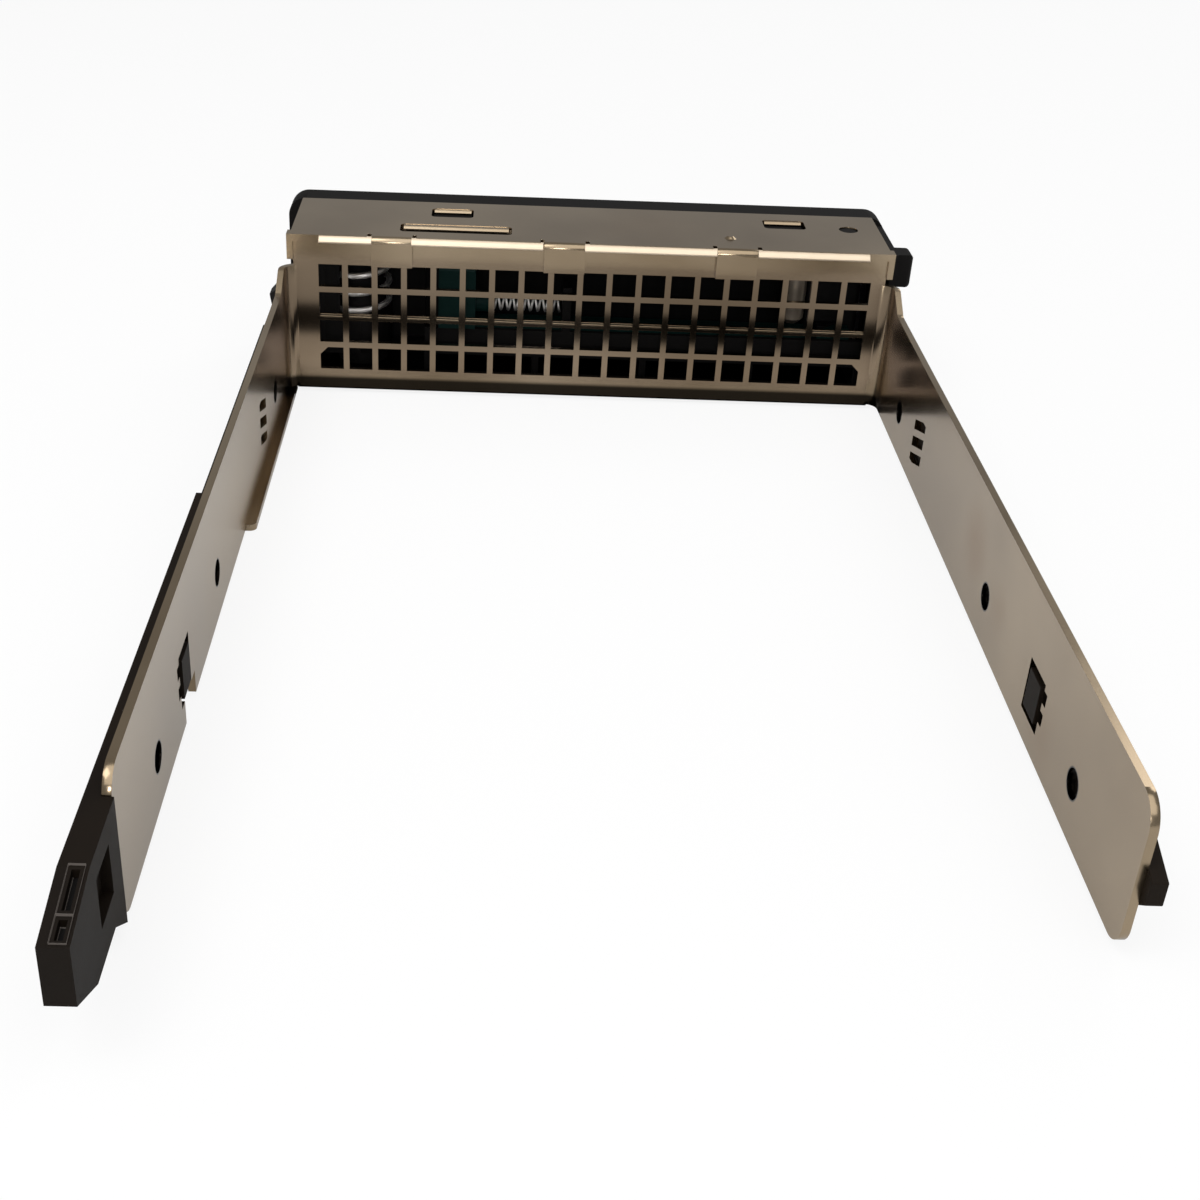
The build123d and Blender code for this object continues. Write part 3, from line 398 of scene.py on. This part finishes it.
def moulded_plastic(name, dark, light, roughness):
    """Moulded plastic: matt from its spark-eroded grain, with faint flow marks."""
    made, tree = new_material(name)
    place = add_node(tree, "ShaderNodeTexCoord").outputs["Object"]
    grain = add_node(tree, "ShaderNodeTexNoise", {
        "Vector": place, "Scale": per(SPARK_GRAIN), "Detail": 2.0}).outputs["Fac"]
    flow = add_node(tree, "ShaderNodeTexNoise", {
        "Vector": place, "Scale": per(FLOW_MARKS), "Detail": 3.0}).outputs["Fac"]
    tone = add_node(tree, "ShaderNodeMix", {
        "Factor": flow, "A": rgba(linear(dark)), "B": rgba(linear(light))}, data_type="RGBA")
    gloss = add_node(tree, "ShaderNodeMapRange", {
        "Value": flow, "To Min": roughness - MOULD_SPREAD[0],
        "To Max": roughness + MOULD_SPREAD[1]}).outputs[0]
    bump = add_node(tree, "ShaderNodeBump", {
        "Height": grain, "Strength": GRAIN_STRENGTH, "Distance": GRAIN_DEPTH * MM}).outputs[0]
    shader = add_node(tree, "ShaderNodeBsdfPrincipled", {
        "Base Color": tone.outputs["Result"], "Roughness": gloss, "IOR": MOULD_IOR,
        "Specular IOR Level": MOULD_SHINE, "Normal": bump})
    add_node(tree, "ShaderNodeOutputMaterial", {"Surface": shader.outputs[0]})
    return made


# Values that a user would change


class CADDY_PG_looks(bpy.types.PropertyGroup):
    """Finishes of the caddy."""
    steel_light_hex: StringProperty(
        name="Steel, light", description="Lighter tone of the plating", default="#a09079")
    steel_dark_hex: StringProperty(
        name="Steel, dark", description="Darker tone of the plating", default="#84745e")
    steel_roughness: FloatProperty(
        name="Steel roughness", description="Blur of the plating's mirror", default=0.16,
        min=0.0, max=1.0, subtype="FACTOR")
    # Painted shade inside the screw holes
    hole_shade_hex: StringProperty(
        name="Hole", description="Tone of the oxide inside the screw holes", default="#0e0c0a")
    # Soil in the plate's lower fold, with painted shade for the dark floor that it mirrors
    soil_and_shade_hex: StringProperty(
        name="Soil", description="Tone of the soil in the plate's lower fold", default="#16130f")
    stain_hex: StringProperty(
        name="Stain", description="Tone of the brown stains", default="#7a5c38")
    # Lighter metal of the lid's cut edges, partly a painted highlight
    edge_highlight_hex: StringProperty(
        name="Edge", description="Tone of the rubbed cut edges", default="#c8b8a2")
    pin_hex: StringProperty(
        name="Pins", description="Tone of the two turned pins", default="#7c7468")
    wire_hex: StringProperty(
        name="Springs", description="Tone of the spring wire", default="#f2efea")
    pipe_hex: StringProperty(
        name="Light pipes", description="Tone of the clear acrylic", default="#e4ebe6")
    black_dark_hex: StringProperty(
        name="Black, dark", description="Darker tone of the front's plastic", default="#0b0a0a")
    black_light_hex: StringProperty(
        name="Black, light", description="Lighter tone of the front's plastic", default="#131110")
    rail_dark_hex: StringProperty(
        name="Rails, dark", description="Darker tone of the rails' plastic", default="#060504")
    # Brown glints painted on the rails' plastic
    rail_glint_hex: StringProperty(
        name="Rails, light", description="Dust on the rails' plastic", default="#1e160e")
    green_dark_hex: StringProperty(
        name="Green, dark", description="Darker tone of the slider", default="#041a18")
    green_light_hex: StringProperty(
        name="Green, light", description="Lighter tone of the slider", default="#072522")
    # Grey tones of the rims round the tail's slots
    rim_dark_hex: StringProperty(
        name="Rims, dark", description="Darker tone of the tail's rubbed rims", default="#4c4743")
    rim_light_hex: StringProperty(
        name="Rims, light", description="Lighter tone of the tail's rubbed rims",
        default="#5e5853")


class CADDY_PG_sizes(bpy.types.PropertyGroup):
    """Roundings of the solids, and sizes of the lid's edges and the tail's rims."""
    steel_rounding: FloatProperty(
        name="Steel rounding", description="Rounding of the sheet's edges",
        default=0.12 * MM, min=0.0, precision=5, unit="LENGTH")
    pin_rounding: FloatProperty(
        name="Pin rounding", description="Rounding of the pins' ends",
        default=0.1 * MM, min=0.0, precision=5, unit="LENGTH")
    plastic_rounding: FloatProperty(
        name="Plastic rounding", description="Rounding of the moulded edges",
        default=0.15 * MM, min=0.0, precision=5, unit="LENGTH")
    edge_reach: FloatProperty(
        name="Edge reach", description="How far the lid's edges stand out",
        default=0.75 * MM, min=0.0, precision=5, unit="LENGTH")
    edge_height: FloatProperty(
        name="Edge height", description="Height of the lid's edges",
        default=1.2 * MM, min=0.0, precision=5, unit="LENGTH")
    edge_roll: FloatProperty(
        name="Edge roll", description="How far the lid's edges are rolled over",
        default=0.9 * MM, min=0.0, precision=5, unit="LENGTH")
    rim_height: FloatProperty(
        name="Rim height", description="Height of the rims round the tail's slots",
        default=0.25 * MM, min=0.0, precision=5, unit="LENGTH")
    rim_width: FloatProperty(
        name="Rim width", description="Width of the rims round the tail's slots",
        default=0.5 * MM, min=0.0, precision=5, unit="LENGTH")


# Shared steps


def plate_face():
    """Place of the perforated plate along the arms."""
    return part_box("frame")[1][1] / MM - ARM_LENGTH


def recoat(piece, finish):
    """Leaves a piece with one finish."""
    piece.data.materials.clear()
    piece.data.materials.append(finish)


def weld(piece):
    """Welds a CAD node's loose triangles."""
    piece.modifiers.new("weld", "WELD").merge_threshold = WELD_GAP


def round_edges(piece, width):
    """Rounds a piece's sharp edges by so many metres."""
    edge = piece.modifiers.new("edge", "BEVEL")
    edge.width = width
    edge.segments = 2
    edge.limit_method = "ANGLE"
    edge.angle_limit = SHARP_ANGLE
    return edge


def dress(names, finish, width):
    """Gives CAD nodes their finish and a small edge rounding."""
    for name in names:
        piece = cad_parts[name]
        recoat(piece, finish)
        if width:
            weld(piece)
            round_edges(piece, width)


def smooth_coil(name, finish):
    """Gives a CAD spring its finish and rounds its wire."""
    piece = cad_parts[name]
    recoat(piece, finish)
    weld(piece)
    wire = piece.modifiers.new("wire", "SUBSURF")
    wire.levels = 2
    wire.render_levels = 2


def unpick(mesh):
    """Deselects all of a mesh, in object mode."""
    for parts in (mesh.polygons, mesh.vertices, mesh.edges):
        for part in parts:
            part.select = False


def pick_edge(piece, wanted):
    """Selects the edges that pass a test on both ends, in edit mode's edge selection."""
    bpy.ops.object.mode_set(mode="OBJECT")
    mesh = piece.data
    unpick(mesh)
    for edge in mesh.edges:
        edge.select = wanted(*(mesh.vertices[index].co / MM for index in edge.vertices))
    bpy.ops.object.mode_set(mode="EDIT")
    bpy.ops.mesh.select_mode(type="EDGE")


def pick_face(piece, axis, sign):
    """Selects the flat face furthest along an axis."""
    bpy.ops.object.mode_set(mode="OBJECT")
    unpick(piece.data)
    best = max(piece.data.polygons, key=lambda face: (
        round(face.normal[axis] * sign, 3), round(face.center[axis] * sign, 6)))
    best.select = True
    bpy.ops.object.mode_set(mode="EDIT")


def shift(piece, test, move):
    """Moves the corners that pass a test."""
    bpy.ops.object.mode_set(mode="OBJECT")
    unpick(piece.data)
    for point in piece.data.vertices:
        point.select = test(point.co / MM)
    bpy.ops.object.mode_set(mode="EDIT")
    bpy.ops.mesh.select_mode(type="VERT")
    bpy.ops.transform.translate(value=[m * MM for m in move])
    bpy.ops.mesh.select_mode(type="FACE")


def block(name, low, high, finish):
    """Box between two corners, alone in edit mode."""
    if bpy.context.object and bpy.context.object.mode != "OBJECT":
        bpy.ops.object.mode_set(mode="OBJECT")
    bpy.ops.object.select_all(action="DESELECT")
    middle = [(a + b) / 2 * MM for a, b in zip(low, high)]
    bpy.ops.mesh.primitive_cube_add(size=1.0, location=middle)
    piece = bpy.context.object
    piece.name = name
    piece.data.materials.append(finish)
    piece.scale = [(b - a) * MM for a, b in zip(low, high)]
    bpy.ops.object.transform_apply(location=True, rotation=True, scale=True)
    bpy.ops.object.mode_set(mode="EDIT")
    bpy.ops.mesh.select_mode(type="FACE")
    return piece


def finish_edges(piece, width):
    """Rounds a piece's sharp edges by so many millimetres, keeps its flats flat, applies both."""
    bpy.context.view_layer.objects.active = piece
    bpy.ops.object.shade_smooth_by_angle(angle=SMOOTH_ANGLE)
    edge = round_edges(piece, width * MM)
    flats = piece.modifiers.new("flats", "WEIGHTED_NORMAL")
    flats.keep_sharp = True
    for step in (edge.name, flats.name):
        bpy.ops.object.modifier_apply(modifier=step)


def join(pieces, name, width):
    """Joins loose blocks into one finished piece of the carrier."""
    bpy.ops.object.mode_set(mode="OBJECT")
    bpy.ops.object.select_all(action="DESELECT")
    for piece in pieces:
        piece.select_set(True)
    bpy.context.view_layer.objects.active = pieces[0]
    if len(pieces) > 1:
        bpy.ops.object.join()
    pieces[0].name = name
    finish_edges(pieces[0], width)
    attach(pieces[0], "carrier")


def squashed_coil(node, name):
    """Merged, smoothed copy of a CAD spring, attached to the carrier in the node's place."""
    bpy.ops.object.select_all(action="DESELECT")
    coil = bpy.data.objects.new(name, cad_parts[node].data.copy())
    bpy.context.collection.objects.link(coil)
    recoat(coil, bpy.data.materials["spring_wire"])
    coil.select_set(True)
    bpy.context.view_layer.objects.active = coil
    bpy.ops.object.mode_set(mode="EDIT")
    bpy.ops.mesh.select_all(action="SELECT")
    bpy.ops.mesh.remove_doubles(threshold=WELD_GAP)
    bpy.ops.object.mode_set(mode="OBJECT")
    wire = coil.modifiers.new("wire", "SUBSURF")
    wire.levels = 1
    wire.render_levels = 1
    bpy.ops.object.modifier_apply(modifier=wire.name)
    bpy.ops.object.shade_smooth()
    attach(coil, "carrier")
    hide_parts(node)
    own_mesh(coil)


def tail_top(y):
    """Height of the tail's sloping top."""
    return TAIL_TOP - max(0.0, y - TAIL_SLOPE_Y) * TAIL_FALL


# Pieces


class CADDY_OT_dress(bpy.types.Operator):
    """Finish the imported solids"""
    bl_idname = "caddy.dress"
    bl_label = "Finish the solids"

    def execute(self, context):
        looks, sizes = context.scene.caddy_looks, context.scene.caddy_sizes
        dress(STEEL_NODES, nickel_plated_steel(looks), sizes.steel_rounding)
        dress(PIN_NODES, turned_steel(looks), sizes.pin_rounding)
        smooth_coil("lever_spring", spring_wire(looks))
        dress(PIPE_NODES, clear_acrylic(looks), 0.0)
        # ABS of the front and the latch: near black, and matt
        black = moulded_plastic("black_abs", looks.black_dark_hex, looks.black_light_hex,
                                ABS_ROUGHNESS)
        # ABS of the rails: the same, with brown glints painted into the faint flow marks
        glint_painted_abs = moulded_plastic("rail_abs_painted_glints", looks.rail_dark_hex, looks.rail_glint_hex,
                                ABS_ROUGHNESS)
        # Acetal of the slider: dark green, and a little smoother
        green = moulded_plastic("green_acetal", looks.green_dark_hex, looks.green_light_hex,
                                ACETAL_ROUGHNESS)
        for names, plastic in ((BLACK_NODES, black), (RAIL_NODES, glint_painted_abs), (GREEN_NODES, green)):
            dress(names, plastic, sizes.plastic_rounding)
        return {"FINISHED"}


class CADDY_OT_springs(bpy.types.Operator):
    """Replace the two pressed springs with merged, smoothed copies"""
    bl_idname = "caddy.springs"
    bl_label = "Pressed springs"

    def execute(self, context):
        squashed_coil("button_spring", "button_coil")
        squashed_coil("latch_spring", "latch_coil")
        return {"FINISHED"}


class CADDY_OT_edges(bpy.types.Operator):
    """Roll over the edges of the lid, its slots and the plate's second row of holes"""
    bl_idname = "caddy.edges"
    bl_label = "Rolled edges"

    def execute(self, context):
        sizes = context.scene.caddy_sizes
        reach, tall, roll = (size / MM for size in (
            sizes.edge_reach, sizes.edge_height, sizes.edge_roll))
        # Lighter metal of the lid's edges, partly a painted highlight
        bright = cut_edge_with_painted_highlight(context.scene.caddy_looks)
        plated = bpy.data.materials["nickel_plated_steel"]
        face = plate_face()
        rear = face + COVER_OVERHANG
        top = LID_TOP - EDGE_SUNK
        edges = [(left, right, rear - EDGE_GRIP, rear + reach, top - tall, top, roll)
                 for left, right in EDGE_SPANS]
        lips = [(x - width / 2, x + width / 2, wall - LIP_GRIP, wall + depth, top - LIP_HEIGHT,
                 top - LIP_GRIP, LIP_ROLL) for x, width, wall, depth in SLOT_LIPS]
        holes = [GRID_SHIFT + GRID_PITCH * (step - (GRID_COLUMNS - 1) / 2)
                 for step in range(GRID_COLUMNS)]
        row = LID_TOP - GRID_FALL
        burrs = [(x - BURR_HALF, x + BURR_HALF, face - BURR_GRIP, face + BURR_OUT,
                  row - BURR_LOW, row + BURR_HIGH, BURR_ROLL) for x in holes]
        for places, finish, name, rounding in (
                (edges, bright, "rolled_edges", EDGE_ROUNDING),
                (lips, plated, "slot_lips", LIP_ROUNDING),
                (burrs, plated, "hole_burrs", BURR_ROUNDING)):
            join([self.bar(*place, finish) for place in places], name, rounding)
        return {"FINISHED"}

    def bar(self, left, right, front, back, low, high, roll, finish):
        """Bar whose upper rear edge is rolled over."""
        piece = block("bar", (left, front, low), (right, back, high), finish)
        pick_edge(piece, lambda a, b: (
            min(a.y, b.y) > back - TOUCH and min(a.z, b.z) > high - TOUCH))
        bpy.ops.mesh.bevel(offset=roll * MM, segments=ROLL_STEPS, profile=ROLL_SHAPE)
        return piece


class CADDY_OT_tail(bpy.types.Operator):
    """Raise the rims round the tail's two slots"""
    bl_idname = "caddy.tail"
    bl_label = "Tail rims"

    def execute(self, context):
        looks, sizes = context.scene.caddy_looks, context.scene.caddy_sizes
        # ABS of the rims: grey, lighter than the rails, and a little smoother
        grey_rim_plastic = moulded_plastic("grey_rim_abs", looks.rim_dark_hex, looks.rim_light_hex,
                                 RIM_ROUGHNESS)
        rims = []
        for near, far in RIMS:
            rim = block("rim", (RIM_LEFT, near, tail_top(near) - RIM_DEPTH),
                        (RIM_RIGHT, far, tail_top(near) + sizes.rim_height / MM), grey_rim_plastic)
            rim.data.materials.append(bpy.data.materials["black_abs"])
            shift(rim, lambda place: place.y > (near + far) / 2,
                  (0.0, 0.0, tail_top(far) - tail_top(near)))
            pick_face(rim, 2, 1)
            bpy.ops.mesh.inset(thickness=sizes.rim_width)
            bpy.ops.transform.translate(value=(0.0, 0.0, -RIM_SINK * MM))
            bpy.context.object.active_material_index = 1
            bpy.ops.object.material_slot_assign()
            rims.append(rim)
        join(rims, "tail_rims", RIM_ROUNDING)
        return {"FINISHED"}


class CADDY_OT_baffle(bpy.types.Operator):
    """Close the gap under the guide at the vents"""
    bl_idname = "caddy.baffle"
    bl_label = "Guide skirt"

    def execute(self, context):
        low, high = (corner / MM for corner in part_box("guide_rail"))
        start, end = (plate_face() + place for place in SKIRT)
        skirt = block("skirt", (low[0] + SKIRT_OUTSET, start, SKIRT_LOW),
                      (high[0] - SKIRT_INSET, end, low[2] + SKIRT_LAP),
                      bpy.data.materials["black_abs"])
        join([skirt], "guide_skirt", SKIRT_ROUNDING)
        return {"FINISHED"}


# Stage


def add_camera():
    """Camera at the photograph's place, with its turn, tilt and shift."""
    data = bpy.data.cameras.new("camera")
    data.sensor_width = SENSOR
    data.sensor_fit = "HORIZONTAL"
    data.lens = FOCAL_PIXELS * SENSOR / IMAGE_PIXELS
    data.shift_x = (IMAGE_PIXELS / 2 - CENTRE_PIXELS[0]) / IMAGE_PIXELS
    data.shift_y = (CENTRE_PIXELS[1] - IMAGE_PIXELS / 2) / IMAGE_PIXELS
    data.clip_start = CLIP_START
    camera = bpy.data.objects.new("camera", data)
    bpy.context.collection.objects.link(camera)
    yaw, pitch, roll = map(math.radians, (CAMERA_YAW, CAMERA_PITCH, CAMERA_ROLL))
    ahead = Vector((math.sin(yaw) * math.cos(pitch), -math.cos(yaw) * math.cos(pitch),
                    -math.sin(pitch)))
    right = ahead.cross(Vector((0, 0, 1))).normalized()
    up = right.cross(ahead)
    side = math.cos(roll) * right + math.sin(roll) * up
    top = -math.sin(roll) * right + math.cos(roll) * up
    turn = Matrix((side, top, -ahead)).transposed().to_4x4()
    camera.matrix_world = Matrix.Translation(Vector(CAMERA_PLACE) * MM) @ turn
    bpy.context.scene.camera = camera


def add_lamp(name, place, target, size, power):
    """Square soft light aimed at a point."""
    data = bpy.data.lights.new(name, "AREA")
    data.shape = "SQUARE"
    data.size = size
    data.energy = power
    lamp = bpy.data.objects.new(name, data)
    bpy.context.collection.objects.link(lamp)
    turn = (Vector(target) - Vector(place)).to_track_quat("-Z", "Y").to_matrix().to_4x4()
    lamp.matrix_world = Matrix.Translation(place) @ turn


def by_bounce(tree, once, twice):
    """Strength of a card in a first mirror and in a second one."""
    depth = add_node(tree, "ShaderNodeLightPath").outputs["Glossy Depth"]
    return add_node(tree, "ShaderNodeMapRange", {
        "Value": depth, "From Min": 1.0, "From Max": 2.0, "To Min": once,
        "To Max": twice}).outputs[0]


def add_card(name, finish, y, z, length, tilt):
    """Card as wide as the bay that only mirror surfaces see."""
    bpy.ops.object.select_all(action="DESELECT")
    bpy.ops.mesh.primitive_plane_add(size=1.0, location=(0.0, y * MM, z * MM),
                                     rotation=(math.radians(tilt), 0.0, 0.0))
    card = bpy.context.object
    card.scale = (BAY_WIDTH * MM, length * MM, 1.0)
    card.name = name
    card.data.materials.append(finish)
    card.visible_camera = False
    card.visible_diffuse = False
    card.visible_shadow = False
    card.visible_transmission = False


def add_flag(name, distance, tall, bands):
    """Upright card behind the plate, in bands of light, that shows on the plate's side alone."""
    made, tree = new_material(name)
    mirrored = add_node(tree, "ShaderNodeLightPath").outputs["Is Glossy Ray"]
    geometry = add_node(tree, "ShaderNodeNewGeometry")
    height = add_node(tree, "ShaderNodeSeparateXYZ", {0: geometry.outputs["Position"]})
    share = add_node(tree, "ShaderNodeMath", {0: height.outputs["Z"], 1: tall * MM},
                     operation="DIVIDE").outputs[0]
    ramp = add_node(tree, "ShaderNodeValToRGB", {"Fac": share})
    points = ramp.color_ramp.elements
    for index, (place, level) in enumerate(bands):
        point = points[index] if index < 2 else points.new(place)
        point.position = place
        point.color = rgba(level * tint for tint in FLAG_TINT)
    cool = add_node(tree, "ShaderNodeMix", {
        "Factor": by_bounce(tree, 0.0, 1.0), "A": ramp.outputs[0], "B": rgba(SECOND_TINT)},
        data_type="RGBA", blend_type="MULTIPLY")
    glow = add_node(tree, "ShaderNodeEmission", {
        "Color": cool.outputs["Result"], "Strength": by_bounce(tree, 1.0, FLAG_SECOND)})
    clear = add_node(tree, "ShaderNodeBsdfTransparent")
    front = add_node(tree, "ShaderNodeMath", {0: 1.0, 1: geometry.outputs["Backfacing"]},
                     operation="SUBTRACT").outputs[0]
    shown = add_node(tree, "ShaderNodeMath", {0: front, 1: mirrored},
                     operation="MULTIPLY").outputs[0]
    mix = add_node(tree, "ShaderNodeMixShader", {
        0: shown, 1: clear.outputs[0], 2: glow.outputs[0]})
    add_node(tree, "ShaderNodeOutputMaterial", {"Surface": mix.outputs[0]})
    add_card(name, made, plate_face() + distance, tall / 2, tall, 90.0)


def add_dark_card(name, near, far):
    """Dark card on the floor, for the plate's fold to mirror."""
    made, tree = new_material(name)
    glow = add_node(tree, "ShaderNodeEmission", {
        "Color": rgba(FOLD_TINT), "Strength": by_bounce(tree, *FOLD_LEVELS)})
    add_node(tree, "ShaderNodeOutputMaterial", {"Surface": glow.outputs[0]})
    add_card(name, made, plate_face() + (near + far) / 2, FOLD_LIFT, far - near, 0.0)


def add_world():
    """World that is white to the camera and dimmer on the caddy."""
    world = bpy.data.worlds.new("studio")
    bpy.context.scene.world = world
    world.use_nodes = True
    tree = world.node_tree
    tree.nodes.clear()
    path = add_node(tree, "ShaderNodeLightPath").outputs
    seen = add_node(tree, "ShaderNodeMath", {
        0: path["Is Camera Ray"], 1: path["Is Transmission Ray"]}, operation="MAXIMUM").outputs[0]
    level = add_node(tree, "ShaderNodeMapRange", {
        "Value": seen, "To Min": WORLD_LEVEL, "To Max": 1.0}).outputs[0]
    back = add_node(tree, "ShaderNodeBackground", {"Color": rgba(WHITE), "Strength": level})
    add_node(tree, "ShaderNodeOutputWorld", {"Surface": back.outputs[0]})


def add_floor():
    """Floor that keeps a faint shadow and is otherwise white to the camera."""
    bpy.ops.object.select_all(action="DESELECT")
    bpy.ops.mesh.primitive_plane_add(size=FLOOR_SIZE, location=(0.0, 0.0, 0.0))
    floor = bpy.context.object
    floor.name = "floor"
    made, tree = new_material("studio_floor")
    seen = add_node(tree, "ShaderNodeLightPath").outputs["Is Camera Ray"]
    matt = add_node(tree, "ShaderNodeBsdfDiffuse", {"Color": rgba(FLOOR_GREY)})
    glow = add_node(tree, "ShaderNodeEmission", {"Color": rgba(WHITE), "Strength": 1.0})
    keep = add_node(tree, "ShaderNodeMath", {0: seen, 1: FLOOR_WHITE}, operation="MULTIPLY")
    mix = add_node(tree, "ShaderNodeMixShader", {
        0: keep.outputs[0], 1: matt.outputs[0], 2: glow.outputs[0]})
    add_node(tree, "ShaderNodeOutputMaterial", {"Surface": mix.outputs[0]})
    floor.data.materials.append(made)


class CADDY_OT_stage(bpy.types.Operator):
    """Set the camera, floor and lights"""
    bl_idname = "caddy.stage"
    bl_label = "Set the stage"

    def execute(self, context):
        context.scene.view_settings.view_transform = "Standard"
        add_world()
        add_floor()
        add_flag("band_flag", FLAG_DISTANCE, FLAG_HEIGHT, FLAG_BANDS)
        add_dark_card("fold_card", *FOLD_CARD)
        add_camera()
        for name, settings in LAMPS.items():
            add_lamp(name, *settings)
        return {"FINISHED"}


class CADDY_PT_panel(bpy.types.Panel):
    """Lists the caddy's colours, sizes and pieces"""
    bl_label = "Drive Caddy"
    bl_idname = "CADDY_PT_panel"
    bl_space_type = "VIEW_3D"
    bl_region_type = "UI"
    bl_category = "Drive Caddy"

    def draw(self, context):
        for name in CADDY_PG_looks.__annotations__:
            self.layout.prop(context.scene.caddy_looks, name)
        for name in CADDY_PG_sizes.__annotations__:
            self.layout.prop(context.scene.caddy_sizes, name)
        for kind in OPERATORS:
            self.layout.operator(kind.bl_idname)


OPERATORS = (CADDY_OT_dress, CADDY_OT_springs, CADDY_OT_edges, CADDY_OT_tail, CADDY_OT_baffle,
             CADDY_OT_stage)
CLASSES = (CADDY_PG_looks, CADDY_PG_sizes, *OPERATORS, CADDY_PT_panel)


def register():
    """Register the classes and their settings."""
    for kind in CLASSES:
        bpy.utils.register_class(kind)
    bpy.types.Scene.caddy_looks = PointerProperty(type=CADDY_PG_looks)
    bpy.types.Scene.caddy_sizes = PointerProperty(type=CADDY_PG_sizes)


def unregister():
    """Remove the classes and their settings."""
    del bpy.types.Scene.caddy_sizes
    del bpy.types.Scene.caddy_looks
    for kind in reversed(CLASSES):
        bpy.utils.unregister_class(kind)


def main():
    """Build every piece in order."""
    register()
    bpy.ops.caddy.dress()
    bpy.ops.caddy.springs()
    bpy.ops.caddy.edges()
    bpy.ops.caddy.tail()
    bpy.ops.caddy.baffle()
    bpy.ops.caddy.stage()


if __name__ == "__main__":
    main()
